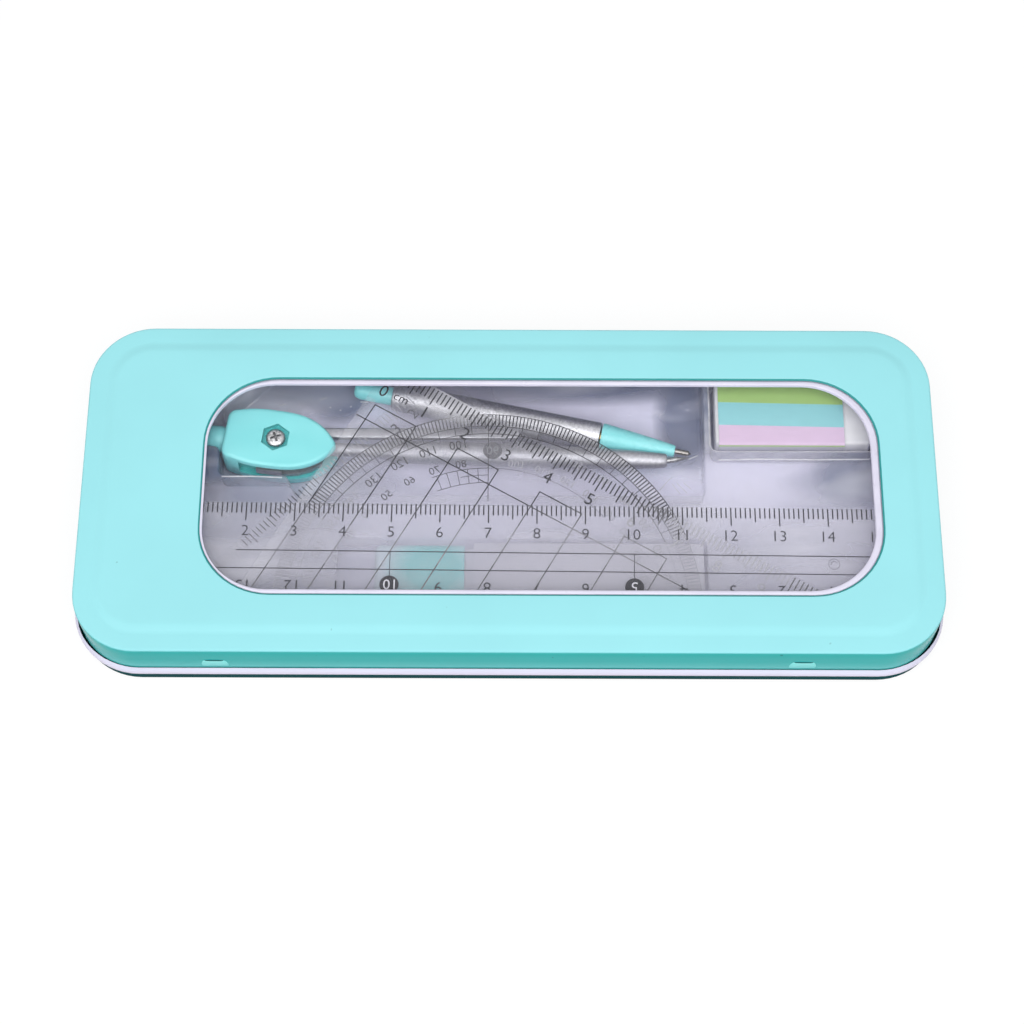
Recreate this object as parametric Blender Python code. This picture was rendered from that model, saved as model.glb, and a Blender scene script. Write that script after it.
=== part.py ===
"""Drafting instrument case: a hinged tin with a windowed lid and its drawing set inside.

Metres, +Z up, +X to the right along the case, +Y to the hinge at the back.
The meshes are laid out in case coordinates, whose origin is the middle of the lid on the table.
"""
import math

import bmesh
import bpy
from mathutils import Matrix, Vector

# Lid: one pressed sheet with a raised panel and an outward rolled edge
SHEET = 0.0004
LID_WIDTH = 0.1770
LID_DEPTH = 0.0734
LID_CORNER = 0.0132
LID_SKIRT = 0.0117
LID_EDGE = 0.0014
ROLL_OUT = 0.0011
ROLL_HEIGHT = 0.0022
PANEL_INSET = 0.0040
PANEL_SLOPE = 0.0014
PANEL_RISE = 0.0004
SNAP_SIDE = 0.0282
SNAP_WIDTH = 0.0038
SNAP_HEIGHT = 0.0012
SNAP_DEPTH = 0.0002

# Base pan: stands inside the lid skirt
LID_GAP = 0.0006
BASE_DROP = 0.0022
BASE_EDGE = 0.0010
BASE_HEM = 0.0010

# Window: an opening in the lid, a white ring under its edge and a clear pane
WINDOW_LEFT = 0.02505
WINDOW_RIGHT = 0.01185
WINDOW_BACK = 0.0120
WINDOW_FRONT = 0.0124
WINDOW_CORNER = 0.0149
BEZEL_LIP = 0.0017
BEZEL_LAP = 0.0025
BEZEL_SHEET = 0.0004
PANE_SHEET = 0.0003
PANE_ROOM = 0.0005

# Hinges: rolled knuckles on two wire pins behind the case
HINGE_SIDE = 0.0385
KNUCKLE_RADIUS = 0.0015
KNUCKLE_SET = 0.0012
BASE_KNUCKLE = 0.0120
LID_KNUCKLE = 0.0060
KNUCKLE_GAP = 0.0004
PIN_RADIUS = 0.0006

# Insert tray: a clear formed sheet with pockets
TRAY_SHEET = 0.0004
TRAY_GAP = 0.0004
POCKET_GAP = 0.0007
POCKET_CORNER = 0.0015
SWING_ROOM = 0.0048
FIT = 0.0003

# Flat drawing pieces, stacked on the tray
PLATE = 0.0009
RULER_WIDTH = 0.0245
RULER_SIDE = 0.0067
RULER_FRONT = 0.0066
RULER_BEVEL = 0.0045
RULER_EDGE = 0.0005
RULER_TURN = -0.45
SQUARE_FRONT = 0.0017
SQUARE_45_SIDE = 0.0079
SQUARE_45_BACK = 0.0047
SQUARE_30_LEFT = 0.0258
SQUARE_30_RIGHT = 0.0064
SQUARE_30_FRONT = 0.0040
SQUARE_30_BACK = 0.0049
SQUARE_CORNER = 0.0008
PROTRACTOR_BACK = 0.0158
PROTRACTOR_FOOT = 0.0060
PROTRACTOR_FRONT = 0.0038
PROTRACTOR_SIDE = 0.0380

# Eraser: a rubber block in a printed card sleeve
ERASER_LENGTH = 0.0331
ERASER_WIDTH = 0.0165
ERASER_THICKNESS = 0.0076
ERASER_SIDE = 0.0103
ERASER_BACK = 0.0062
RUBBER_OUT = 0.0057
SLEEVE_CARD = 0.0004

# Compass head: a yoke with a pivot screw and a handle
HEAD_TO_SQUARE = 0.0044
PIVOT_BACK = 0.0217
HEAD_LENGTH = 0.0238
HEAD_WIDTH = 0.0135
HEAD_SLOT = 0.0034
HEAD_REAR = 0.0112
HEAD_PLATE = 0.0026
EYE_ROOM = 0.0004
HEAD_BEVEL = 0.0007
HEX_RADIUS = 0.0028
HEX_DEPTH = 0.0015
SCREW_HEAD_RADIUS = 0.0020
SCREW_RADIUS = 0.0012
NUT_RADIUS = 0.0024
HANDLE_RADIUS = 0.0022
HANDLE_LENGTH = 0.0140
SPIGOT_RADIUS = 0.0012
SPIGOT_LENGTH = 0.0040
EYE_RADIUS = 0.0032
EYE_GAP = 0.0002

# Needle leg
TIP_GAP = 0.0053
LEG_START = 0.0050
NEEDLE_START_DROP = 0.0006
NEEDLE_TIP_DROP = 0.0034
LEG_RADIUS = 0.0020
LEG_END_RADIUS = 0.0012
LEG_SWELL = 0.0200
NEEDLE_RADIUS = 0.0005
NEEDLE_OUT = 0.0048
NEEDLE_IN = 0.0080

# Pencil leg: an arm that carries a small push-button pencil
PENCIL_TILT = 12.0
PENCIL_TIP_DROP = 0.0011
ARM_START_RISE = 0.0025
ARM_WIDTH = 0.0024
SADDLE_FROM_TIP = 0.0360
SADDLE_LENGTH = 0.0090
SADDLE_WALL = 0.0008
BARREL_DIAMETER = 0.0060
BARREL_WALL = 0.0006
BARREL_LIFT = 0.0003
CONE_LENGTH = 0.0162
CONE_END_RADIUS = 0.0012
TIP_OUT = 0.0030
TIP_IN = 0.0040
TIP_RADIUS = 0.0007
TIP_BORE = 0.0004
LEAD_RADIUS = 0.00025
LEAD_OUT = 0.0004
LEAD_INSIDE = 0.0250
CHUCK_RADIUS = 0.0012
CHUCK_LENGTH = 0.0080
CHUCK_FROM_CONE_END = 0.0085
CHUCK_BORE = 0.0005
CLUTCH_RADIUS = 0.0017
CLUTCH_LENGTH = 0.0020
TUBE_RADIUS = 0.0013
TUBE_BORE = 0.0008
BUTTON_RADIUS = 0.0020
BUTTON_OUT = 0.0082
BUTTON_IN = 0.0035
BUTTON_TRAVEL = 0.0020
BARREL_REAR = 0.0636
SPRING_RADIUS = 0.00185
SPRING_WIRE = 0.00018
SPRING_TURNS = 7
SPRING_PITCH = 0.0014

# Lead case: a clear box with a pull-off cap and spare leads
CASE_BODY_LENGTH = 0.0480
CASE_WIDTH = 0.0120
CASE_THICKNESS = 0.0056
CASE_WALL = 0.0007
CASE_NECK = 0.0090
CAP_LENGTH = 0.0202
CAP_SIDE = 0.0588
CAP_BACK = 0.0446
CAP_TRAVEL = 0.0070
SPARE_LEADS = 3
SPARE_LEAD_RADIUS = 0.00035
SPARE_LEAD_LENGTH = 0.0500
SPARE_LEAD_SPACING = 0.0022

# How finely arcs are drawn
CORNER_STEPS = 6
ROUND_STEPS = 20
SMALL_STEPS = 12

# Plan sizes that follow from the lid
base_x = LID_WIDTH / 2 - SHEET - LID_GAP
base_y = LID_DEPTH / 2 - SHEET - LID_GAP
base_corner = LID_CORNER - SHEET - LID_GAP
tray_x = base_x - SHEET - TRAY_GAP
tray_y = base_y - SHEET - TRAY_GAP
tray_corner = base_corner - SHEET - TRAY_GAP
window_x = (LID_WIDTH - WINDOW_LEFT - WINDOW_RIGHT) / 2
window_y = (LID_DEPTH - WINDOW_FRONT - WINDOW_BACK) / 2
window_middle = ((WINDOW_LEFT - WINDOW_RIGHT) / 2, (WINDOW_FRONT - WINDOW_BACK) / 2)
snap_x = LID_WIDTH / 2 - SNAP_SIDE

# Heights from the table up: pan floor, tray pockets, tray land, flat pieces, pane, ring, lid
tray_bottom = SHEET + FIT
rest_z = tray_bottom + TRAY_SHEET + FIT
barrel_z = rest_z + BARREL_LIFT + BARREL_DIAMETER / 2
land_z = barrel_z + BARREL_DIAMETER / 2 + BARREL_LIFT
plate_step = PLATE + FIT
protractor_z = land_z + FIT
square_45_z = protractor_z + plate_step
square_30_z = square_45_z + plate_step
ruler_z = square_30_z + plate_step
pane_z = ruler_z + PLATE + PANE_ROOM
bezel_z = pane_z + PANE_SHEET + FIT
lid_under_z = bezel_z + BEZEL_SHEET + FIT
lid_top_z = lid_under_z + SHEET
border_z = lid_top_z - PANEL_RISE
skirt_z = lid_top_z - LID_SKIRT
base_top_z = lid_top_z - BASE_DROP

# Hinge axis: level with the lower edge of the skirt, just behind it
hinge_y = LID_DEPTH / 2 + KNUCKLE_SET
hinge_z = skirt_z
hinge_x = LID_WIDTH / 2 - HINGE_SIDE
frame_shift = -(KNUCKLE_SET + KNUCKLE_RADIUS - ROLL_OUT) / 2

# Places of the loose pieces in the tray
eraser_right = tray_x - ERASER_SIDE
eraser_left = eraser_right - ERASER_LENGTH
eraser_back = tray_y - ERASER_BACK
eraser_front = eraser_back - ERASER_WIDTH
sleeve_right = eraser_right - RUBBER_OUT
square_low = SQUARE_FRONT - tray_y
square_45_left = SQUARE_45_SIDE - tray_x
pivot_y = tray_y - PIVOT_BACK
head_nose = square_45_left + pivot_y - square_low - HEAD_TO_SQUARE
pivot_x = head_nose - HEAD_LENGTH + HEAD_REAR
slot_low_z = rest_z + HEAD_PLATE
slot_high_z = slot_low_z + HEAD_SLOT
head_top_z = slot_high_z + HEAD_PLATE
head_mid_z = slot_low_z + HEAD_SLOT / 2
eye_thickness = (HEAD_SLOT - 3 * EYE_GAP) / 2
leg_root_radius = HEAD_SLOT / 2 - FIT
tip_x = eraser_left - TIP_GAP
needle_start = Vector((pivot_x + LEG_START, pivot_y - NEEDLE_START_DROP, head_mid_z))
needle_tip = Vector((tip_x, pivot_y - NEEDLE_TIP_DROP, head_mid_z))
pencil_tip = Vector((tip_x, pivot_y - PENCIL_TIP_DROP, barrel_z))
cap_left = CAP_SIDE - tray_x
cap_back = tray_y - CAP_BACK
case_mid_y = cap_back - CASE_WIDTH / 2

parents = {}


def clear_scene():
    for old in list(bpy.data.objects):
        bpy.data.objects.remove(old, do_unlink=True)


def empty(name, location, turn=0.0, parent=None):
    """An axis or frame, placed in case coordinates; its own turn is about +Z, in degrees."""
    frame = bpy.data.objects.new(name, None)
    bpy.context.scene.collection.objects.link(frame)
    matrix = Matrix.Translation(location) @ Matrix.Rotation(math.radians(turn), 4, "Z")
    parents[name] = matrix
    frame.parent = bpy.data.objects[parent] if parent else None
    frame.matrix_local = (parents[parent].inverted() @ matrix) if parent else matrix
    return frame


def finish(bm, name, parent, matrix=None):
    """Turn a mesh in case coordinates into an object under one of the frames."""
    if matrix is not None:
        bm.transform(matrix)
    bmesh.ops.recalc_face_normals(bm, faces=bm.faces)
    mesh = bpy.data.meshes.new(name)
    bm.to_mesh(mesh)
    bm.free()
    mesh.shade_smooth()
    mesh.set_sharp_from_angle(angle=math.radians(35))
    part = bpy.data.objects.new(name, mesh)
    bpy.context.scene.collection.objects.link(part)
    part.parent = bpy.data.objects[parent]
    part.matrix_local = parents[parent].inverted()
    return part


def paint(part, colour, roughness, metallic=0.0, alpha=1.0):
    material = bpy.data.materials.new(part.name)
    material.use_nodes = True
    shader = material.node_tree.nodes["Principled BSDF"]
    shader.inputs["Base Color"].default_value = (*colour, 1.0)
    shader.inputs["Roughness"].default_value = roughness
    shader.inputs["Metallic"].default_value = metallic
    shader.inputs["Alpha"].default_value = alpha
    part.data.materials.append(material)


def combine(part, tool, operation):
    """Join a tool body to a part or cut it out; the tool itself is not a piece."""
    tool.hide_render = True
    tool.display_type = "WIRE"
    step = part.modifiers.new(tool.name, "BOOLEAN")
    step.operation = operation
    step.solver = "EXACT"
    step.object = tool


def rounded_rectangle(half_x, half_y, radius, centre=(0.0, 0.0)):
    points = []
    for quarter, (sx, sy) in enumerate(((1, 1), (-1, 1), (-1, -1), (1, -1))):
        for step in range(CORNER_STEPS + 1):
            angle = math.pi / 2 * (quarter + step / CORNER_STEPS)
            x = sx * (half_x - radius) + radius * math.cos(angle)
            y = sy * (half_y - radius) + radius * math.sin(angle)
            points.append((centre[0] + x, centre[1] + y))
    return points


def rounded_polygon(corners, radius):
    """A counter-clockwise outline whose corners are replaced by arcs of one radius."""
    points = []
    count = len(corners)
    for index in range(count):
        here = Vector(corners[index])
        back = (Vector(corners[index - 1]) - here).normalized()
        ahead = (Vector(corners[(index + 1) % count]) - here).normalized()
        half = back.angle(ahead) / 2
        centre = here + (back + ahead).normalized() * radius / math.sin(half)
        start = here + back * radius / math.tan(half) - centre
        sweep = math.pi - 2 * half
        turn = 1 if back.x * ahead.y - back.y * ahead.x < 0 else -1
        for step in range(CORNER_STEPS + 1):
            spun = start.copy()
            spun.rotate(Matrix.Rotation(turn * sweep * step / CORNER_STEPS, 2))
            points.append(tuple(centre + spun))
    return points


def level(points, z):
    return [(x, y, z) for x, y in points]


def skin(rings, closed=False):
    """A body from rings with the same number of points, capped or joined end to end."""
    bm = bmesh.new()
    loops = [[bm.verts.new(point) for point in ring] for ring in rings]
    follow = loops[1:] + loops[:1] if closed else loops[1:]
    for one, two in zip(loops, follow):
        for i in range(len(one)):
            j = (i + 1) % len(one)
            bm.faces.new((one[i], one[j], two[j], two[i]))
    if not closed:
        bm.faces.new(loops[0])
        bm.faces.new(loops[-1])
    return bm


def prism(points, low, high):
    return skin([level(points, low), level(points, high)])


def block(low, high):
    corners = [(low[0], low[1]), (high[0], low[1]), (high[0], high[1]), (low[0], high[1])]
    return prism(corners, low[2], high[2])


def turned(profile, steps=ROUND_STEPS, closed=False):
    """A body turned about its own X axis from (distance, radius) points."""
    rings = []
    for distance, radius in profile:
        ring = []
        for step in range(steps):
            angle = 2 * math.pi * (step + 0.5) / steps
            ring.append((distance, radius * math.cos(angle), radius * math.sin(angle)))
        rings.append(ring)
    return skin(rings, closed)


def tube(start, end, outer, inner, steps=ROUND_STEPS):
    return turned([(start, outer), (end, outer), (end, inner), (start, inner)], steps, True)


def aim(start, end):
    """Frame whose X axis runs from start to end, in the plan."""
    heading = math.atan2(end[1] - start[1], end[0] - start[0])
    return Matrix.Translation(start) @ Matrix.Rotation(heading, 4, "Z")


def disc(radius, low, high, centre, steps=ROUND_STEPS):
    points = []
    for step in range(steps):
        angle = 2 * math.pi * (step + 0.5) / steps
        points.append((centre[0] + radius * math.cos(angle), centre[1] + radius * math.sin(angle)))
    return prism(points, low, high)


def quarter_arc(inset, z, radius, start, steps=3):
    """Offsets and heights along a quarter of a pressed edge, from angle start (degrees)."""
    path = []
    for step in range(steps + 1):
        angle = math.radians(start + 90.0 * step / steps)
        path.append((inset + radius * math.cos(angle), z + radius * math.sin(angle)))
    return path


def knuckle(length, centre_x, parent, name):
    spin = Matrix.Translation((centre_x, hinge_y, hinge_z))
    return finish(turned([(-length / 2, KNUCKLE_RADIUS), (length / 2, KNUCKLE_RADIUS)]), name, parent, spin)


def pin_bore(length, centre_x, parent, name):
    spin = Matrix.Translation((centre_x, hinge_y, hinge_z))
    radius = PIN_RADIUS + FIT
    return finish(turned([(-length / 2, radius), (length / 2, radius)], SMALL_STEPS), name, parent, spin)


def build_base():
    def ring(inset, z):
        corner = base_corner - inset
        return level(rounded_rectangle(base_x - inset, base_y - inset, corner), z)

    path = [(BASE_EDGE - x, z) for x, z in quarter_arc(0.0, BASE_EDGE, BASE_EDGE, -90.0)]
    path += [(0.0, base_top_z - BASE_HEM / 2), (BASE_HEM * 0.2, base_top_z), (BASE_HEM * 0.8, base_top_z)]
    path += [(BASE_HEM, base_top_z - BASE_HEM / 2), (BASE_HEM * 0.8, base_top_z - BASE_HEM)]
    path += [(SHEET, base_top_z - BASE_HEM)]
    bend = BASE_EDGE - SHEET
    path += [(BASE_EDGE - x, z) for x, z in reversed(quarter_arc(0.0, BASE_EDGE, bend, -90.0))]
    pan = finish(skin([ring(inset, z) for inset, z in path]), "base_pan", "case_frame")
    paint(pan, (0.34, 0.80, 0.82), 0.30, 0.2)
    for side in (-1, 1):
        middle = side * hinge_x
        half = BASE_KNUCKLE / 2
        low = hinge_z - KNUCKLE_RADIUS
        tab = block((middle - half, base_y - SHEET / 2, low), (middle + half, hinge_y, low + 2 * SHEET))
        combine(pan, finish(tab, "base_tab_tool", "case_frame"), "UNION")
        combine(pan, knuckle(BASE_KNUCKLE, middle, "case_frame", "base_knuckle_tool"), "UNION")
        combine(pan, pin_bore(BASE_KNUCKLE + 2 * FIT, middle, "case_frame", "base_bore_tool"), "DIFFERENCE")


def build_hinge_pins():
    length = BASE_KNUCKLE + 2 * (KNUCKLE_GAP + LID_KNUCKLE)
    for name, side in (("hinge_pin_left", -1), ("hinge_pin_right", 1)):
        rod = turned([(-length / 2, PIN_RADIUS), (length / 2, PIN_RADIUS)], SMALL_STEPS)
        spot = Matrix.Translation((side * hinge_x, hinge_y, hinge_z))
        paint(finish(rod, name, "case_frame", spot), (0.62, 0.62, 0.64), 0.25, 1.0)


def opening(outset, z):
    """The edge of the window, moved outwards into the lid."""
    corner = WINDOW_CORNER + outset
    return level(rounded_rectangle(window_x + outset, window_y + outset, corner, window_middle), z)


def build_lid():
    def skirt(inset, z):
        half_x = LID_WIDTH / 2 - inset
        half_y = LID_DEPTH / 2 - inset
        return level(rounded_rectangle(half_x, half_y, LID_CORNER - inset), z)

    rise = PANEL_INSET + PANEL_SLOPE
    rings = [opening(0.0, lid_top_z - SHEET / 2), opening(SHEET / 2, lid_top_z)]
    rings += [skirt(rise, lid_top_z), skirt(PANEL_INSET, border_z)]
    for inset, z in reversed(quarter_arc(0.0, border_z - LID_EDGE, LID_EDGE, 0.0)):
        rings.append(skirt(LID_EDGE - inset, z))
    roll_top = skirt_z + ROLL_HEIGHT
    for step in range(7):
        angle = math.pi * step / 6
        rings.append(skirt(-ROLL_OUT * math.sin(angle), roll_top - ROLL_HEIGHT / 2 * (1 - math.cos(angle))))
    rings.append(skirt(SHEET, skirt_z))
    bend = LID_EDGE - SHEET
    for inset, z in quarter_arc(0.0, border_z - LID_EDGE, bend, 0.0):
        rings.append(skirt(LID_EDGE - inset, z))
    rings += [skirt(PANEL_INSET + SHEET / 2, border_z - SHEET), skirt(rise + SHEET / 2, lid_under_z)]
    rings.append(opening(SHEET / 2, lid_under_z))
    lid = finish(skin(rings, closed=True), "lid_shell", "lid_axis")
    paint(lid, (0.38, 0.86, 0.90), 0.22, 0.2)
    for side in (-1, 1):
        middle = side * hinge_x
        half = BASE_KNUCKLE / 2 + KNUCKLE_GAP
        top = hinge_z + KNUCKLE_RADIUS + KNUCKLE_GAP
        reach = KNUCKLE_SET + KNUCKLE_RADIUS
        low = (middle - half, LID_DEPTH / 2 - 2 * SHEET, skirt_z - SHEET)
        notch = block(low, (middle + half, LID_DEPTH / 2 + reach, top))
        combine(lid, finish(notch, "lid_notch_tool", "lid_axis"), "DIFFERENCE")
        for end in (-1, 1):
            spot = middle + end * (half + LID_KNUCKLE / 2)
            combine(lid, knuckle(LID_KNUCKLE, spot, "lid_axis", "lid_knuckle_tool"), "UNION")
            bore = pin_bore(LID_KNUCKLE + KNUCKLE_GAP, spot, "lid_axis", "lid_bore_tool")
            combine(lid, bore, "DIFFERENCE")
        dent_z = roll_top + SNAP_HEIGHT
        for face, mode in ((0.0, "DIFFERENCE"), (SHEET, "UNION")):
            bump = bmesh.new()
            bmesh.ops.create_uvsphere(bump, u_segments=12, v_segments=6, radius=1.0)
            size = Matrix.Diagonal((SNAP_WIDTH / 2, SNAP_DEPTH, SNAP_HEIGHT / 2, 1.0))
            spot = Matrix.Translation((side * snap_x, face - LID_DEPTH / 2, dent_z))
            combine(lid, finish(bump, "lid_snap_tool", "lid_axis", spot @ size), mode)


def build_window():
    lip_top = lid_top_z - SHEET / 2
    path = [(-FIT, bezel_z + BEZEL_SHEET), (-FIT, lip_top), (-BEZEL_LIP + BEZEL_SHEET, lip_top)]
    path += [(-BEZEL_LIP, lip_top - BEZEL_SHEET), (-BEZEL_LIP, bezel_z)]
    path += [(BEZEL_LAP, bezel_z), (BEZEL_LAP, bezel_z + BEZEL_SHEET)]
    bezel = finish(skin([opening(*spot) for spot in path], closed=True), "window_bezel", "lid_axis")
    paint(bezel, (0.70, 0.68, 0.82), 0.30)
    edge = [opening(BEZEL_LAP, pane_z), opening(BEZEL_LAP, pane_z + PANE_SHEET)]
    paint(finish(skin(edge), "window_pane", "lid_axis"), (0.93, 0.93, 0.97), 0.05, 0.0, 0.2)


def pocket_outlines():
    """Plan outlines of the tray pockets: compass, eraser and lead case."""
    gap = POCKET_GAP
    head_left = pivot_x - HEAD_REAR
    handle_left = head_left - HANDLE_LENGTH - gap
    handle_half = HANDLE_RADIUS + gap
    head_front = pivot_y - HEAD_WIDTH / 2 - gap - SWING_ROOM
    back = tray_y - TRAY_SHEET - 2 * gap
    right = tip_x + LEAD_OUT + BUTTON_TRAVEL + gap
    compass = [
        (handle_left, pivot_y - handle_half),
        (head_left - gap, pivot_y - handle_half),
        (head_left - gap, head_front),
        (right, head_front),
        (right, back),
        (head_left + HEAD_LENGTH / 2, back),
        (head_left - gap, pivot_y + HEAD_WIDTH / 2 + gap),
        (head_left - gap, pivot_y + handle_half),
        (handle_left, pivot_y + handle_half),
    ]
    low = (eraser_left - gap, eraser_front - gap)
    high = (eraser_right + gap, eraser_back + gap)
    eraser = [low, (high[0], low[1]), high, (low[0], high[1])]
    low = (cap_left - CAP_TRAVEL - gap, cap_back - CASE_WIDTH - gap)
    high = (cap_left + CAP_LENGTH + CASE_BODY_LENGTH + gap, cap_back + gap)
    leads = [low, (high[0], low[1]), high, (low[0], high[1])]
    return {"compass": compass, "eraser": eraser, "leads": leads}


def build_tray():
    outer = rounded_rectangle(tray_x, tray_y, tray_corner)
    inner = rounded_rectangle(tray_x - TRAY_SHEET, tray_y - TRAY_SHEET, tray_corner - TRAY_SHEET)
    tray = finish(prism(outer, tray_bottom, land_z), "insert_tray", "case_frame")
    paint(tray, (0.86, 0.86, 0.93), 0.15, 0.0, 0.3)
    hollow = prism(inner, tray_bottom - TRAY_SHEET, land_z - TRAY_SHEET)
    combine(tray, finish(hollow, "tray_hollow_tool", "case_frame"), "DIFFERENCE")
    outlines = pocket_outlines()
    for name, corners in outlines.items():
        wall = rounded_polygon(grow(corners, TRAY_SHEET), POCKET_CORNER / 2)
        body = prism(wall, tray_bottom, land_z - TRAY_SHEET / 2)
        combine(tray, finish(body, "tray_" + name + "_wall_tool", "case_frame"), "UNION")
    for name, corners in outlines.items():
        room = rounded_polygon(corners, POCKET_CORNER / 2)
        body = prism(room, tray_bottom + TRAY_SHEET, land_z + TRAY_SHEET)
        combine(tray, finish(body, "tray_" + name + "_room_tool", "case_frame"), "DIFFERENCE")


def grow(corners, distance):
    """The outline moved outwards by one wall, corner by corner."""
    moved = []
    count = len(corners)
    for index in range(count):
        here = Vector(corners[index])
        before = (here - Vector(corners[index - 1])).normalized()
        after = (Vector(corners[(index + 1) % count]) - here).normalized()
        one = Vector((before.y, -before.x))
        two = Vector((after.y, -after.x))
        moved.append(tuple(here + (one + two) * distance / (1.0 + one.dot(two))))
    return moved


def build_drawing_plates():
    clear = (0.83, 0.82, 0.90)
    length = 2 * (tray_x - RULER_SIDE)
    front = RULER_FRONT - tray_y
    half = RULER_WIDTH / 2
    section = [(-half, 0.0), (half, 0.0), (half, RULER_EDGE), (half - RULER_BEVEL, PLATE)]
    section += [(RULER_BEVEL - half, PLATE), (-half, RULER_EDGE)]
    ends = [[(x, y, z) for y, z in section] for x in (-length / 2, length / 2)]
    turn = Matrix.Rotation(math.radians(RULER_TURN), 4, "Z")
    spot = Matrix.Translation((0.0, front + half, ruler_z)) @ turn
    paint(finish(skin(ends), "ruler", "case_frame", spot), clear, 0.12, 0.0, 0.3)

    low = square_low
    rise = tray_y - SQUARE_45_BACK - low
    left = square_45_left
    corners = [(left, low), (left + 2 * rise, low), (left + rise, low + rise)]
    body = prism(rounded_polygon(corners, SQUARE_CORNER), square_45_z, square_45_z + PLATE)
    paint(finish(body, "set_square_45", "case_frame"), clear, 0.12, 0.0, 0.3)

    low = SQUARE_30_FRONT - tray_y
    left = SQUARE_30_LEFT - tray_x
    across = (tray_x - SQUARE_30_RIGHT - left) * math.cos(math.radians(60)) ** 2
    back = (tray_y - SQUARE_30_BACK - low) / math.tan(math.radians(60))
    foot = min(across, back)
    right = left + foot / math.cos(math.radians(60)) ** 2
    rise = foot * math.tan(math.radians(60))
    corners = [(left, low), (right, low), (left + foot, low + rise)]
    body = prism(rounded_polygon(corners, SQUARE_CORNER), square_30_z, square_30_z + PLATE)
    paint(finish(body, "set_square_30_60", "case_frame"), clear, 0.12, 0.0, 0.3)

    foot_y = PROTRACTOR_FRONT - tray_y
    middle_y = foot_y + PROTRACTOR_FOOT
    radius = tray_y - PROTRACTOR_BACK - middle_y
    middle_x = PROTRACTOR_SIDE - tray_x + radius
    points = []
    for step in range(3 * ROUND_STEPS + 1):
        angle = math.pi * step / (3 * ROUND_STEPS)
        points.append((middle_x + radius * math.cos(angle), middle_y + radius * math.sin(angle)))
    points += [(middle_x - radius, foot_y), (middle_x + radius, foot_y)]
    body = prism(points, protractor_z, protractor_z + PLATE)
    paint(finish(body, "protractor", "case_frame"), clear, 0.12, 0.0, 0.3)


def head_outline():
    """Flat rear end with rounded corners, then sides that close in to a rounded nose."""
    left = pivot_x - HEAD_REAR
    half = HEAD_WIDTH / 2
    corner = HEAD_WIDTH / 6
    upper = []
    for step in range(5):
        angle = math.pi / 2 * step / 4
        upper.append((left + corner * (1 - math.cos(angle)), half - corner * (1 - math.sin(angle))))
    for step in range(1, 17):
        angle = math.pi / 2 * step / 16
        reach = (HEAD_LENGTH - corner) * math.sin(angle)
        upper.append((left + corner + reach, half * math.cos(angle) ** 0.9))
    lower = [(x, -y) for x, y in reversed(upper[:-1])]
    return [(x, pivot_y + y) for x, y in reversed(upper + lower)]


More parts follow.
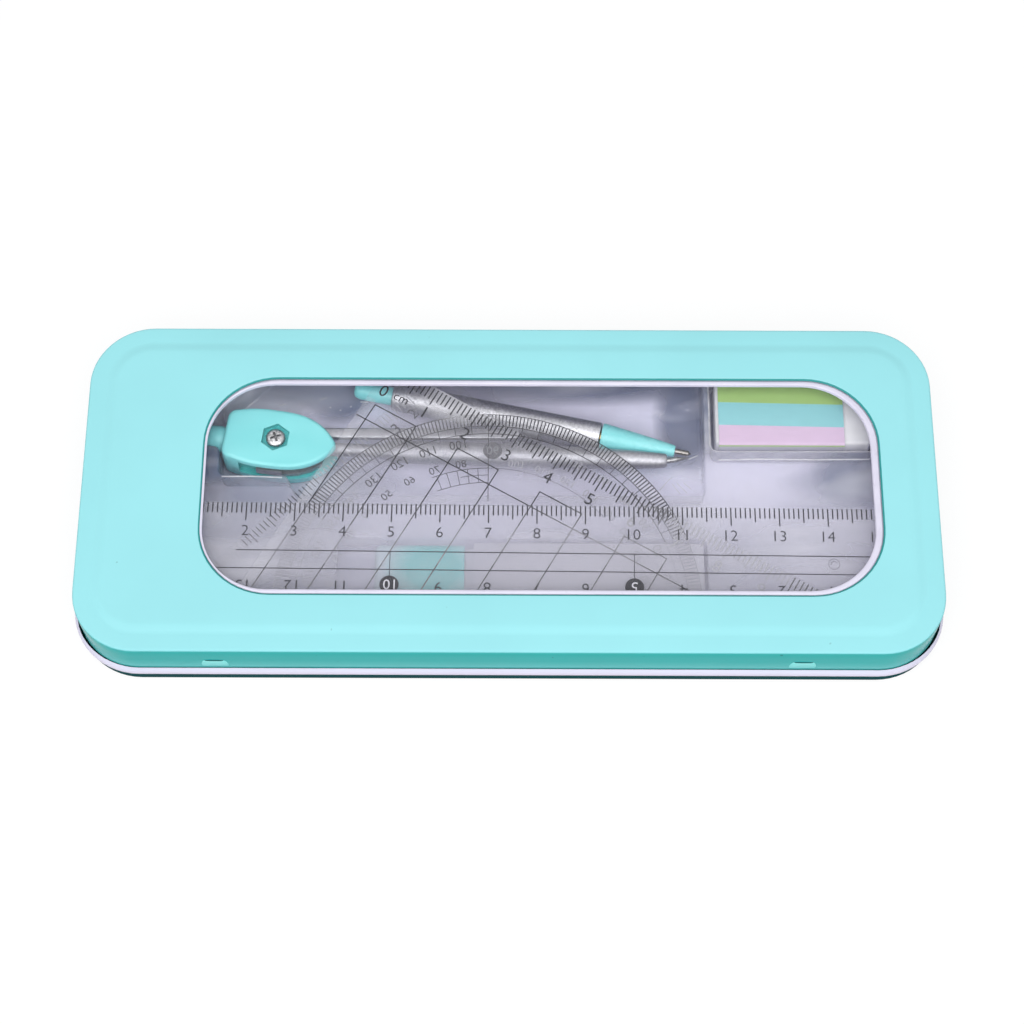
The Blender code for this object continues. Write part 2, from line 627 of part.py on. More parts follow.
def build_compass_head():
    top = head_top_z
    body = prism(head_outline(), rest_z, top)
    head = finish(body, "compass_head", "case_frame")
    paint(head, (0.28, 0.76, 0.79), 0.30)
    edge = head.modifiers.new("soft_edges", "BEVEL")
    edge.width = HEAD_BEVEL
    edge.segments = 2
    edge.angle_limit = math.radians(60)
    bridge_x = pivot_x - EYE_RADIUS - EYE_ROOM
    low = (bridge_x, pivot_y - HEAD_WIDTH, slot_low_z)
    slot = block(low, (pivot_x + HEAD_LENGTH, pivot_y + HEAD_WIDTH, slot_high_z))
    combine(head, finish(slot, "head_slot_tool", "case_frame"), "DIFFERENCE")
    spot = (pivot_x, pivot_y)
    hole = disc(SCREW_RADIUS + FIT, rest_z - FIT, top + FIT, spot, SMALL_STEPS)
    combine(head, finish(hole, "head_screw_tool", "case_frame"), "DIFFERENCE")
    for name, low, high in (("nut", rest_z - FIT, rest_z + HEX_DEPTH), ("head", top - HEX_DEPTH, top + FIT)):
        socket = disc(HEX_RADIUS, low, high, spot, 6)
        combine(head, finish(socket, "hex_" + name + "_tool", "case_frame"), "DIFFERENCE")
    rear = (pivot_x - HEAD_REAR, pivot_y, head_mid_z)
    bore = turned([(-FIT, SPIGOT_RADIUS + FIT), (SPIGOT_LENGTH + FIT, SPIGOT_RADIUS + FIT)], SMALL_STEPS)
    combine(head, finish(bore, "head_spigot_tool", "case_frame", Matrix.Translation(rear)), "DIFFERENCE")

    grip = HANDLE_LENGTH
    profile = [(SPIGOT_LENGTH, SPIGOT_RADIUS), (-FIT, SPIGOT_RADIUS), (-FIT, HANDLE_RADIUS)]
    profile += [(-grip * 0.92, HANDLE_RADIUS), (-grip, HANDLE_RADIUS * 0.75)]
    handle = finish(turned(profile), "compass_handle", "case_frame", Matrix.Translation(rear))
    paint(handle, (0.28, 0.76, 0.79), 0.30)

    head_low = top - HEX_DEPTH + FIT
    screw_low = rest_z + FIT
    shank = disc(SCREW_RADIUS, screw_low, head_low + FIT, spot, SMALL_STEPS)
    screw = finish(shank, "pivot_screw", "case_frame")
    paint(screw, (0.72, 0.71, 0.70), 0.22, 1.0)
    pan_head = disc(SCREW_HEAD_RADIUS, head_low, top - FIT, spot)
    combine(screw, finish(pan_head, "screw_head_tool", "case_frame"), "UNION")
    for turn in (0, 90):
        arm = SCREW_HEAD_RADIUS * 0.6
        cross = block((-arm, -FIT / 2, top - 2.2 * FIT), (arm, FIT / 2, top))
        place = Matrix.Translation((*spot, 0.0)) @ Matrix.Rotation(math.radians(20 + turn), 4, "Z")
        combine(screw, finish(cross, "screw_cross_tool", "case_frame", place), "DIFFERENCE")

    nut = finish(disc(NUT_RADIUS, rest_z, rest_z + HEX_DEPTH - FIT, spot, 6), "pivot_nut", "case_frame")
    paint(nut, (0.72, 0.71, 0.70), 0.22, 1.0)
    bore = disc(SCREW_RADIUS + FIT, rest_z - FIT, rest_z + HEX_DEPTH, spot, SMALL_STEPS)
    combine(nut, finish(bore, "nut_bore_tool", "case_frame"), "DIFFERENCE")


def build_needle_leg():
    eye_low = slot_low_z + EYE_GAP
    eye_high = eye_low + eye_thickness
    spot = (pivot_x, pivot_y)
    frame = aim(needle_start, needle_tip)
    reach = (needle_tip - needle_start).length
    end = reach - NEEDLE_OUT
    profile = [(0.0, leg_root_radius), (LEG_SWELL - LEG_START, leg_root_radius), (LEG_SWELL, LEG_RADIUS)]
    profile += [(end - LEG_SWELL, LEG_RADIUS * 0.92), (end, LEG_END_RADIUS)]
    leg = finish(turned(profile), "needle_leg", "needle_axis", frame)
    paint(leg, (0.52, 0.52, 0.56), 0.32, 1.0)
    eye = disc(EYE_RADIUS, eye_low, eye_high, spot)
    combine(leg, finish(eye, "needle_eye_tool", "needle_axis"), "UNION")
    low = (pivot_x, needle_start.y - leg_root_radius, eye_low)
    web = block(low, (needle_start.x + LEG_START, needle_start.y, eye_high))
    combine(leg, finish(web, "needle_web_tool", "needle_axis"), "UNION")
    hole = disc(SCREW_RADIUS + FIT, slot_low_z, slot_high_z, spot, SMALL_STEPS)
    combine(leg, finish(hole, "needle_pivot_tool", "needle_axis"), "DIFFERENCE")
    bore = turned([(end - NEEDLE_IN, NEEDLE_RADIUS + FIT), (end + FIT, NEEDLE_RADIUS + FIT)], SMALL_STEPS)
    combine(leg, finish(bore, "needle_bore_tool", "needle_axis", frame), "DIFFERENCE")
    profile = [(end - NEEDLE_IN + FIT, NEEDLE_RADIUS), (reach - NEEDLE_OUT / 2, NEEDLE_RADIUS)]
    profile += [(reach, NEEDLE_RADIUS / 5)]
    needle = finish(turned(profile, SMALL_STEPS), "compass_needle", "needle_axis", frame)
    paint(needle, (0.70, 0.70, 0.72), 0.18, 1.0)


def build_pencil_leg():
    eye_low = slot_low_z + 2 * EYE_GAP + eye_thickness
    eye_high = eye_low + eye_thickness
    spot = (pivot_x, pivot_y)
    radius = BARREL_DIAMETER / 2
    line = Matrix.Translation(pencil_tip) @ Matrix.Rotation(math.radians(-PENCIL_TILT), 4, "Z")
    saddle_at = line @ Vector((-SADDLE_FROM_TIP, -radius - FIT - SADDLE_WALL / 2, 0.0))
    arm_start = Vector((pivot_x + LEG_START, pivot_y + ARM_START_RISE, 0.0))
    arm_end = Vector((saddle_at.x, saddle_at.y, 0.0))
    arm_high = slot_high_z - EYE_GAP
    arm_low = slot_low_z + 2 * EYE_GAP
    reach = (arm_end - arm_start).length
    bar = block((0.0, -ARM_WIDTH / 2, arm_low), (reach, ARM_WIDTH / 2, arm_high))
    arm = finish(bar, "pencil_arm", "pencil_axis", aim(arm_start, arm_end))
    paint(arm, (0.62, 0.62, 0.65), 0.35, 1.0)
    eye = disc(EYE_RADIUS, eye_low, eye_high, spot)
    combine(arm, finish(eye, "arm_eye_tool", "pencil_axis"), "UNION")
    web_low = (pivot_x, arm_start.y - ARM_WIDTH / 2, eye_low)
    web = block(web_low, (arm_start.x + LEG_START, arm_start.y + ARM_WIDTH / 4, eye_high))
    combine(arm, finish(web, "arm_web_tool", "pencil_axis"), "UNION")
    hole = disc(SCREW_RADIUS + FIT, slot_low_z, slot_high_z, spot, SMALL_STEPS)
    combine(arm, finish(hole, "arm_pivot_tool", "pencil_axis"), "DIFFERENCE")
    low = (-SADDLE_FROM_TIP - SADDLE_LENGTH / 2, -radius - FIT - SADDLE_WALL, -radius * 0.6)
    high = (-SADDLE_FROM_TIP + SADDLE_LENGTH / 2, -radius * 0.3, arm_high - barrel_z)
    combine(arm, finish(block(low, high), "arm_saddle_tool", "pencil_axis", line), "UNION")
    seat = turned([(-BARREL_REAR, radius + FIT), (0.0, radius + FIT)], 2 * ROUND_STEPS)
    combine(arm, finish(seat, "arm_seat_tool", "pencil_axis", line), "DIFFERENCE")

    cone_end = -TIP_OUT
    cone_start = cone_end - CONE_LENGTH
    rear = -BARREL_REAR
    bore = radius - BARREL_WALL
    barrel = finish(tube(rear, cone_start, radius, bore), "pencil_barrel", "pencil_axis", line)
    paint(barrel, (0.55, 0.55, 0.58), 0.34, 1.0)

    clutch_bore = CLUTCH_RADIUS + FIT
    chuck_tip = cone_end - CHUCK_FROM_CONE_END
    seat = chuck_tip - CHUCK_LENGTH + BUTTON_TRAVEL + 2 * FIT
    profile = [(cone_start + FIT, radius), (cone_end, CONE_END_RADIUS), (cone_end, TIP_RADIUS + FIT / 2)]
    profile += [(cone_end - TIP_IN, TIP_RADIUS + FIT / 2), (cone_end - TIP_IN, LEAD_RADIUS + FIT)]
    profile += [(chuck_tip + BUTTON_TRAVEL + FIT, LEAD_RADIUS + FIT)]
    profile += [(chuck_tip + BUTTON_TRAVEL + FIT, clutch_bore), (cone_start + FIT, clutch_bore)]
    cone = finish(turned(profile, closed=True), "pencil_cone", "pencil_axis", line)
    paint(cone, (0.40, 0.80, 0.83), 0.28)

    sleeve = tube(cone_end - TIP_IN + FIT, 0.0, TIP_RADIUS, TIP_BORE + FIT / 3, SMALL_STEPS)
    paint(finish(sleeve, "pencil_tip_sleeve", "pencil_axis", line), (0.60, 0.60, 0.62), 0.22, 1.0)

    clutch_low = chuck_tip - CLUTCH_LENGTH - FIT
    ring = tube(clutch_low, clutch_low + CLUTCH_LENGTH, CLUTCH_RADIUS, CHUCK_RADIUS + FIT / 2, SMALL_STEPS)
    paint(finish(ring, "clutch_ring", "pencil_axis", line), (0.72, 0.56, 0.30), 0.25, 1.0)

    spring_start = seat - SPRING_TURNS * SPRING_PITCH - CLUTCH_LENGTH - CHUCK_LENGTH / 2
    paint(finish(helix(spring_start), "pencil_spring", "pencil_axis", line), (0.66, 0.66, 0.68), 0.25, 1.0)

    chuck_rear = chuck_tip - CHUCK_LENGTH
    chuck = tube(chuck_rear, chuck_tip, CHUCK_RADIUS, CHUCK_BORE, SMALL_STEPS)
    paint(finish(chuck, "lead_chuck", "button_axis", line), (0.72, 0.56, 0.30), 0.25, 1.0)

    tube_rear = rear + BUTTON_IN - FIT
    reservoir = tube(tube_rear, chuck_rear - FIT, TUBE_RADIUS, TUBE_BORE, SMALL_STEPS)
    paint(finish(reservoir, "lead_tube", "button_axis", line), (0.85, 0.85, 0.88), 0.30)

    button_front = rear + BUTTON_IN
    profile = [(rear - BUTTON_OUT, BUTTON_RADIUS * 0.85), (rear - BUTTON_OUT * 0.9, BUTTON_RADIUS)]
    profile += [(button_front, BUTTON_RADIUS), (button_front, TUBE_RADIUS + FIT)]
    button_bore = rear - BUTTON_OUT / 2
    profile += [(button_bore, TUBE_RADIUS + FIT)]
    button = finish(turned(profile), "push_button", "button_axis", line)
    paint(button, (0.36, 0.80, 0.83), 0.30)

    lead = turned([(LEAD_OUT - LEAD_INSIDE, LEAD_RADIUS), (LEAD_OUT, LEAD_RADIUS)], 8)
    paint(finish(lead, "pencil_lead", "button_axis", line), (0.08, 0.08, 0.09), 0.45)


def helix(start):
    """One unbroken round wire, wound about the X axis."""
    per_turn = 10
    count = SPRING_TURNS * per_turn
    rings = []
    for step in range(count + 1):
        angle = 2 * math.pi * step / per_turn
        outward = Vector((0.0, math.cos(angle), math.sin(angle)))
        centre = Vector((start + SPRING_PITCH * step / per_turn, 0.0, 0.0)) + outward * SPRING_RADIUS
        along = Vector((1.0, 0.0, 0.0))
        ring = []
        for side in range(5):
            around = 2 * math.pi * side / 5
            ring.append(centre + SPRING_WIRE * (math.cos(around) * outward + math.sin(around) * along))
        rings.append(ring)
    print("spring: least gap between turns (mm)", round((SPRING_PITCH - 2 * SPRING_WIRE) * 1000, 3))
    return skin(rings)


def build_eraser():
    card = SLEEVE_CARD
    inset = card + FIT
    low = (eraser_left + FIT, eraser_front + inset, rest_z + inset)
    high = (eraser_right, eraser_back - inset, rest_z + ERASER_THICKNESS - inset)
    rubber = finish(block(low, high), "eraser_block", "case_frame")
    paint(rubber, (0.60, 0.58, 0.60), 0.65)
    edge = rubber.modifiers.new("soft_edges", "BEVEL")
    edge.width = FIT
    edge.segments = 2
    top = rest_z + ERASER_THICKNESS
    low = (eraser_left, eraser_front, rest_z)
    card_block = block(low, (sleeve_right, eraser_back, top))
    sleeve = finish(card_block, "eraser_sleeve", "sleeve_axis")
    paint(sleeve, (0.60, 0.75, 0.60), 0.45)
    low = (eraser_left - FIT, eraser_front + card, rest_z + card)
    room = block(low, (sleeve_right + FIT, eraser_back - card, top - card))
    combine(sleeve, finish(room, "sleeve_room_tool", "sleeve_axis"), "DIFFERENCE")


def build_lead_case():
    top = rest_z + CASE_THICKNESS
    front = cap_back - CASE_WIDTH
    wall = CASE_WALL
    cap_right = cap_left + CAP_LENGTH
    right = cap_right + CASE_BODY_LENGTH
    body = block((cap_right + FIT, front, rest_z), (right, cap_back, top))
    shell = finish(body, "lead_case_body", "case_frame")
    paint(shell, (0.86, 0.86, 0.92), 0.10, 0.0, 0.3)
    inset = wall + FIT
    low = (cap_right - CASE_NECK, front + inset, rest_z + inset)
    neck = block(low, (cap_right + wall, cap_back - inset, top - inset))
    combine(shell, finish(neck, "case_neck_tool", "case_frame"), "UNION")
    inset += wall
    low = (cap_right - CASE_NECK - FIT, front + inset, rest_z + inset)
    room = block(low, (right - wall, cap_back - inset, top - inset))
    combine(shell, finish(room, "case_room_tool", "case_frame"), "DIFFERENCE")

    cap = finish(block((cap_left, front, rest_z), (cap_right, cap_back, top)), "lead_case_cap", "cap_axis")
    paint(cap, (0.30, 0.78, 0.80), 0.30)
    low = (cap_left + wall, front + wall, rest_z + wall)
    room = block(low, (cap_right + FIT, cap_back - wall, top - wall))
    combine(cap, finish(room, "cap_room_tool", "cap_axis"), "DIFFERENCE")

    lead_z = rest_z + inset + SPARE_LEAD_RADIUS + FIT
    for number in range(SPARE_LEADS):
        across = (number - (SPARE_LEADS - 1) / 2) * SPARE_LEAD_SPACING
        spot = Matrix.Translation((right - wall - FIT - SPARE_LEAD_LENGTH, case_mid_y + across, lead_z))
        rod = turned([(0.0, SPARE_LEAD_RADIUS), (SPARE_LEAD_LENGTH, SPARE_LEAD_RADIUS)], 8)
        name = "spare_lead_" + str(number + 1)
        paint(finish(rod, name, "case_frame", spot), (0.08, 0.08, 0.09), 0.45)


clear_scene()
shift = bpy.data.objects.new("case_place", None)
bpy.context.scene.collection.objects.link(shift)
shift.location = (0.0, frame_shift, 0.0)
parents["case_place"] = Matrix.Identity(4)
empty("case_frame", (0.0, 0.0, 0.0), parent="case_place")
empty("lid_axis", (0.0, hinge_y, hinge_z), parent="case_frame")
empty("needle_axis", (pivot_x, pivot_y, head_mid_z), parent="case_frame")
empty("pencil_axis", (pivot_x, pivot_y, head_mid_z), parent="case_frame")
empty("button_axis", pencil_tip, -PENCIL_TILT, parent="pencil_axis")
empty("sleeve_axis", (eraser_left, eraser_front, rest_z), parent="case_frame")
empty("cap_axis", (cap_left, case_mid_y, rest_z), parent="case_frame")
build_base()
build_hinge_pins()
build_lid()
build_window()
build_tray()
build_drawing_plates()
build_compass_head()
build_needle_leg()
build_pencil_leg()
build_eraser()
build_lead_case()
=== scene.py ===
import math

import bmesh
import bpy
from mathutils import Matrix, Vector, noise


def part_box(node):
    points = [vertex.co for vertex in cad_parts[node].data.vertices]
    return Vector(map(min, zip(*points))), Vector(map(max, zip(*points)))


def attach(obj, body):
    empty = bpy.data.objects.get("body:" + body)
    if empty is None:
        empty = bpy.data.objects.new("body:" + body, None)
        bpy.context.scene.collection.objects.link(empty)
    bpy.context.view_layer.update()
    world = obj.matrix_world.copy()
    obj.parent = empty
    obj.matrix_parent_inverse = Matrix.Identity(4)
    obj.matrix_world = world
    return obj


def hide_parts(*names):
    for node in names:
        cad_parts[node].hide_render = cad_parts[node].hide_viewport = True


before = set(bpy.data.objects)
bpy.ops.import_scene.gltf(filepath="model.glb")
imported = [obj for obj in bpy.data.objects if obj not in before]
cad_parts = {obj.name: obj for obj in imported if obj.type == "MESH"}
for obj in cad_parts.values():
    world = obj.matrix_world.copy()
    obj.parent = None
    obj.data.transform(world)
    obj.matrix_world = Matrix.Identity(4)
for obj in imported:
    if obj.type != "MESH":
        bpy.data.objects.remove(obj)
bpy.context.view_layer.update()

# Table and light: a plain white table top under one large soft lamp and an even white room.
# The camera stands in front of the case and looks down on it from 66 degrees above the table.
scene = bpy.context.scene
scene.view_settings.view_transform = "Standard"
scene.cycles.transparent_max_bounces = 64
mm = 0.001


def add_object(name, data):
    """A new object in the scene."""
    thing = bpy.data.objects.new(name, data)
    scene.collection.objects.link(thing)
    return thing


def new_finish(name):
    """A new material, with its node tree and its shader."""
    material = bpy.data.materials.new(name)
    material.use_nodes = True
    return material, material.node_tree, material.node_tree.nodes["Principled BSDF"]


def plug(tree, node, inputs):
    """Fill a node's inputs, each with a plain value or with what another node gives out."""
    for name, value in inputs.items():
        if isinstance(value, bpy.types.NodeSocket):
            tree.links.new(value, node.inputs[name])
        else:
            node.inputs[name].default_value = value
    return node.outputs


def add_node(tree, kind, inputs):
    """One more node in the tree, and what it gives out."""
    return plug(tree, tree.nodes.new("ShaderNode" + kind), inputs)


def reckoned(tree, operation, *values):
    """The result of plain arithmetic on values."""
    node = tree.nodes.new("ShaderNodeMath")
    node.operation = operation
    return plug(tree, node, dict(enumerate(values)))[0]


def mixed(tree, part, one, two):
    """Two shaders mixed; the part says how much of the second shows."""
    return add_node(tree, "MixShader", {0: part, 1: one, 2: two})[0]


def ramp(tree, value, stops):
    """Colours along a value, from pairs of a position and a colour or grey."""
    node = tree.nodes.new("ShaderNodeValToRGB")
    elements = node.color_ramp.elements
    while len(elements) < len(stops):
        elements.new(0.5)
    for element, (position, colour) in zip(elements, stops):
        element.position = position
        shade = colour if isinstance(colour, tuple) else (colour, colour, colour)
        element.color = (*shade, 1.0)
    return plug(tree, node, {"Fac": value})["Color"]


table_half = 3.0
table_mesh = bpy.data.meshes.new("table_top")
table_corners = [(x * table_half, y * table_half, 0.0) for x, y in ((-1, -1), (1, -1), (1, 1), (-1, 1))]
table_mesh.from_pydata(table_corners, [], [(0, 1, 2, 3)])
table = add_object("table_top", table_mesh)
table.location.z = -0.05 * mm
table_white, table_tree, table_shader = new_finish("table_white")
table_tree.nodes.remove(table_shader)
table_ray = add_node(table_tree, "LightPath", {})
table_seen = reckoned(table_tree, "MAXIMUM", table_ray["Is Camera Ray"], table_ray["Is Glossy Ray"])
table_through = reckoned(table_tree, "MAXIMUM", table_seen, table_ray["Is Transmission Ray"])
table_matt = add_node(table_tree, "BsdfDiffuse", {"Color": (0.75, 0.75, 0.76, 1.0)})[0]
table_glow = add_node(table_tree, "Emission", {"Strength": 1.08})[0]
table_bright = mixed(table_tree, 0.8, table_matt, table_glow)
table_mix = mixed(table_tree, table_through, table_matt, table_bright)
plug(table_tree, table_tree.nodes["Material Output"], {"Surface": table_mix})
table_mesh.materials.append(table_white)

white = (1.0, 1.0, 1.0, 1.0)
room = bpy.data.worlds.new("white_room")
scene.world = room
room.use_nodes = True
room_tree = room.node_tree
room_soft = plug(room_tree, room_tree.nodes["Background"], {"Color": white, "Strength": 0.45})[0]
room_seen = add_node(room_tree, "Background", {"Color": white})[0]
room_ray = add_node(room_tree, "LightPath", {})
room_direct = reckoned(room_tree, "MAXIMUM", room_ray["Is Camera Ray"], room_ray["Is Transmission Ray"])
room_way = add_node(room_tree, "TexCoord", {})["Generated"]
room_height = add_node(room_tree, "SeparateXYZ", {0: room_way})["Z"]
room_fade = ramp(room_tree, room_height, [(0.05, (0.30, 0.30, 0.32)), (0.75, 1.0)])
room_shine = add_node(room_tree, "Background", {"Color": room_fade})[0]
room_first = mixed(room_tree, room_ray["Is Glossy Ray"], room_soft, room_shine)
room_mix = mixed(room_tree, room_direct, room_first, room_seen)
plug(room_tree, room_tree.nodes["World Output"], {"Surface": room_mix})

lamp_spot = Vector((-0.05, -0.42, 0.78))
lamp_data = bpy.data.lights.new("soft_box", "AREA")
lamp_data.shape = "RECTANGLE"
lamp_data.size = 1.1
lamp_data.size_y = 0.8
lamp_data.energy = 7.6
lamp = add_object("soft_box", lamp_data)
lamp.location = lamp_spot
lamp.rotation_euler = lamp_spot.to_track_quat("Z", "Y").to_euler()

looking_at = Vector((0.534, -6.946, 15.0)) * mm
camera_distance = 474.4 * mm
height_angle = math.radians(66.0)
side_angle = math.radians(0.181)
roll_angle = math.radians(0.039)
backwards = Vector((
    math.sin(side_angle) * math.cos(height_angle),
    -math.cos(side_angle) * math.cos(height_angle),
    math.sin(height_angle),
))
camera_data = bpy.data.cameras.new("photo_camera")
camera_data.sensor_width = 36.0
camera_data.lens = 81.25
camera_data.clip_start = 0.01
camera = add_object("photo_camera", camera_data)
camera_turn = backwards.to_track_quat("Z", "Y").to_matrix() @ Matrix.Rotation(roll_angle, 3, "Z")
camera.matrix_world = Matrix.Translation(looking_at + backwards * camera_distance) @ camera_turn.to_4x4()
scene.camera = camera


# Base pan: the lower half of the tin, pressed from thin sheet. Mint lacquer outside, white lacquer
# inside. Its rim is folded in, and two tabs at the back are curled up round the hinge pins.
def millimetres(node):
    """The lowest and highest corner of one solid of the part, in millimetres."""
    low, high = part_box(node)
    return low / mm, high / mm


def sweep(first, last, steps):
    """Angles in radians, evenly from the first to the last, which are given in degrees."""
    return [math.radians(first + (last - first) * step / steps) for step in range(steps + 1)]


def ring_row(half_x, half_y, radius, z, middle=(0.0, 0.0), steps=14):
    """Points round a rectangle with rounded corners, all at one height."""
    row = []
    for turn, (side, way) in enumerate(((1, -1), (1, 1), (-1, 1), (-1, -1))):
        for angle in sweep(90 * (turn - 1), 90 * turn, steps):
            x = middle[0] + side * (half_x - radius) + radius * math.cos(angle)
            y = middle[1] + way * (half_y - radius) + radius * math.sin(angle)
            row.append(Vector((x, y, z)))
    return row


def skin(rows, closed=False):
    """Points and faces of a surface that runs over rows of points, each row a closed loop."""
    count = len(rows[0])
    points = [point for row in rows for point in row]
    faces = []
    for here in range(len(rows) if closed else len(rows) - 1):
        there = (here + 1) % len(rows)
        for one in range(count):
            two = (one + 1) % count
            faces.append((here * count + one, here * count + two, there * count + two, there * count + one))
    return points, faces


def capped(rows):
    """A closed surface over rows of points, with a flat cap on the first row and on the last."""
    points, faces = skin(rows)
    count = len(rows[0])
    faces.append(tuple(range(count)))
    faces.append(tuple(range(len(points) - count, len(points))))
    return points, faces


def together(shapes):
    """Several surfaces as one list of points and faces."""
    points = []
    faces = []
    for some_points, some_faces in shapes:
        start = len(points)
        points += list(some_points)
        faces += [tuple(start + index for index in face) for face in some_faces]
    return points, faces


def hang(piece, body, node=None):
    """Let a piece ride on a body of the part and stand for one of its solids."""
    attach(piece, body)
    if node:
        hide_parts(node)


def smoothed(mesh, edge):
    """Shade a mesh smooth, but for the edges that turn by more than so many degrees."""
    mesh.shade_smooth()
    mesh.set_sharp_from_angle(angle=math.radians(edge))


def add_piece(name, shape, materials, body=None, node=None, slots=None, edge=35):
    """Make one piece from points in millimetres and, where a body is named, hang it there."""
    points, faces = shape
    mesh = bpy.data.meshes.new(name)
    mesh.from_pydata([Vector(point) * mm for point in points], [], faces)
    for material in materials:
        mesh.materials.append(material)
    if slots:
        mesh.polygons.foreach_set("material_index", slots)
    surface = bmesh.new()
    surface.from_mesh(mesh)
    bmesh.ops.remove_doubles(surface, verts=surface.verts, dist=0.0005 * mm)
    bmesh.ops.recalc_face_normals(surface, faces=surface.faces)
    surface.to_mesh(mesh)
    surface.free()
    smoothed(mesh, edge)
    piece = add_object(name, mesh)
    if body:
        hang(piece, body, node)
    return piece


def own_place(tree):
    """Where a point of the piece lies, by the piece's own axes."""
    return add_node(tree, "TexCoord", {})["Object"]


def grain(tree, scale, detail=3.0, stretch=(1.0, 1.0, 1.0)):
    """Noise fixed to the piece itself; scale counts its waves per metre."""
    mapping = add_node(tree, "Mapping", {"Vector": own_place(tree), "Scale": stretch})["Vector"]
    return add_node(tree, "TexNoise", {"Vector": mapping, "Scale": scale, "Detail": detail})["Fac"]


def wander(tree, noise_value, low, high):
    """A grey or a colour that wanders between two with the noise."""
    return ramp(tree, noise_value, [(0.3, low), (0.7, high)])


def bumped(tree, height, strength, distance):
    """The direction of a surface with small heights on it; the distance is in millimetres."""
    inputs = {"Height": height, "Strength": strength, "Distance": distance * mm}
    return add_node(tree, "Bump", inputs)["Normal"]


def part_way(tree, value, low, high):
    """How far a value has come from low to high, both in millimetres, as 0 to 1."""
    inputs = {"Value": value, "From Min": low * mm, "From Max": high * mm}
    return add_node(tree, "MapRange", inputs)["Result"]


def blended(tree, blend, part, one, two):
    """Two colours put together by a blend; the part says how much of the second counts."""
    node = tree.nodes.new("ShaderNodeMix")
    node.data_type = "RGBA"
    node.blend_type = blend
    return plug(tree, node, {"Factor": part, "A": one, "B": two})["Result"]


def lacquer(name, heights, gloss=(0.14, 0.24), speck=0.88):
    """Baked lacquer on sheet: its colour set by height (on some pieces this carries painted shade and painted
    light), faint clouds, orange peel and a few dark specks.
    """
    material, tree, shader = new_finish(name)
    low = heights[0][0]
    high = heights[-1][0]
    height = add_node(tree, "SeparateXYZ", {0: own_place(tree)})["Z"]
    stops = [((z - low) / (high - low), colour) for z, colour in heights]
    tone = ramp(tree, part_way(tree, height, low, high), stops)
    clouded = blended(tree, "MULTIPLY", 1.0, tone, wander(tree, grain(tree, 38.0), 0.955, 1.0))
    dots = ramp(tree, grain(tree, 520.0, 0.0), [(speck, 1.0), (speck + 0.03, 0.6)])
    plug(tree, shader, {
        "Base Color": blended(tree, "MULTIPLY", 1.0, clouded, dots),
        "Roughness": wander(tree, grain(tree, 150.0), *gloss),
        "Specular IOR Level": 0.06,
        "Normal": bumped(tree, grain(tree, 1400.0), 0.04, 0.02),
    })
    return material


sheet = 0.4
pan_top = millimetres("base_pan")[1].z
pan_half_x = 87.5
pan_half_y = 35.7
pan_corner = 12.2
pan_middle = (0.0, -0.8)
floor_inset = 7.0
bead_out = 0.8
bead_swell = 0.65
bead_half = 0.55
foot_round = 1.4
hem_round = 0.5
hem_deep = 1.95
hem_mint = 3
# Painted shade: the lowest millimetre of the pan is a near-black teal for the shade under the lid's roll;
# above it the mint grows a little lighter towards the top.
pan_mint = lacquer("base_mint", [
    (0.0, (0.008, 0.045, 0.05)), (1.1, (0.012, 0.07, 0.075)),
    (1.6, (0.05, 0.55, 0.53)), (12.8, (0.10, 0.66, 0.66)),
])
pan_white = lacquer("base_white", [(0.0, (0.84, 0.825, 0.99)), (12.8, (0.76, 0.75, 0.91))], (0.25, 0.4), 0.9)


def pan_row(inset, z):
    """One loop of the pan, so far inside its wall and so high."""
    return ring_row(pan_half_x - inset, pan_half_y - inset, pan_corner - inset, z, pan_middle)


pan_rows = [pan_row(floor_inset, 0.0), pan_row(-bead_out, 0.0)]
for angle in sweep(0, 180, 9)[1:-1]:
    pan_rows.append(pan_row(-bead_out - bead_swell * math.sin(angle), bead_half * (1 - math.cos(angle))))
pan_rows += [pan_row(-0.2, 1.12), pan_row(0.0, foot_round)]
pan_rows += [pan_row(0.0, 6.0), pan_row(0.0, pan_top - hem_round)]
pan_outside = len(pan_rows)
for angle in sweep(0, 180, 8):
    hem_inset = hem_round - hem_round * math.cos(angle)
    pan_rows.append(pan_row(hem_inset, pan_top - hem_round + hem_round * math.sin(angle)))
pan_rows += [pan_row(1.0, pan_top - 1.8), pan_row(0.9, pan_top - hem_deep), pan_row(0.45, pan_top - hem_deep)]
pan_rows += [pan_row(sheet, pan_top - 2.1), pan_row(sheet, foot_round)]
for angle in sweep(0, 90, 4)[1:]:
    pan_rows.append(pan_row(sheet + 1.0 - math.cos(angle), foot_round - math.sin(angle)))
pan_rows.append(pan_row(floor_inset, sheet))
pan_shape = capped(pan_rows)
pan_slots = []
for band in range(len(pan_rows) - 1):
    pan_slots += [0 if band < pan_outside + hem_mint else 1] * len(pan_rows[0])
pan_slots += [0, 1]

pin_low, pin_high = millimetres("hinge_pin_left")
pin_y = (pin_low.y + pin_high.y) / 2
pin_z = (pin_low.z + pin_high.z) / 2
hinge_spots = (-50.0, 50.0)
tab_half = 6.0
tab_root = 34.7
knuckle_out = 1.48
knuckle_in = 0.7


def curl(start, stop, lead_in):
    """The side view of a curled tab: a straight lead-in, then round the pin and back inside itself."""
    outer = []
    inner = []
    for angle in sweep(start, stop, 28):
        outer.append((pin_y + knuckle_out * math.cos(angle), pin_z + knuckle_out * math.sin(angle)))
        inner.append((pin_y + knuckle_in * math.cos(angle), pin_z + knuckle_in * math.sin(angle)))
    return [lead_in[0]] + outer + inner[::-1] + [lead_in[1]]


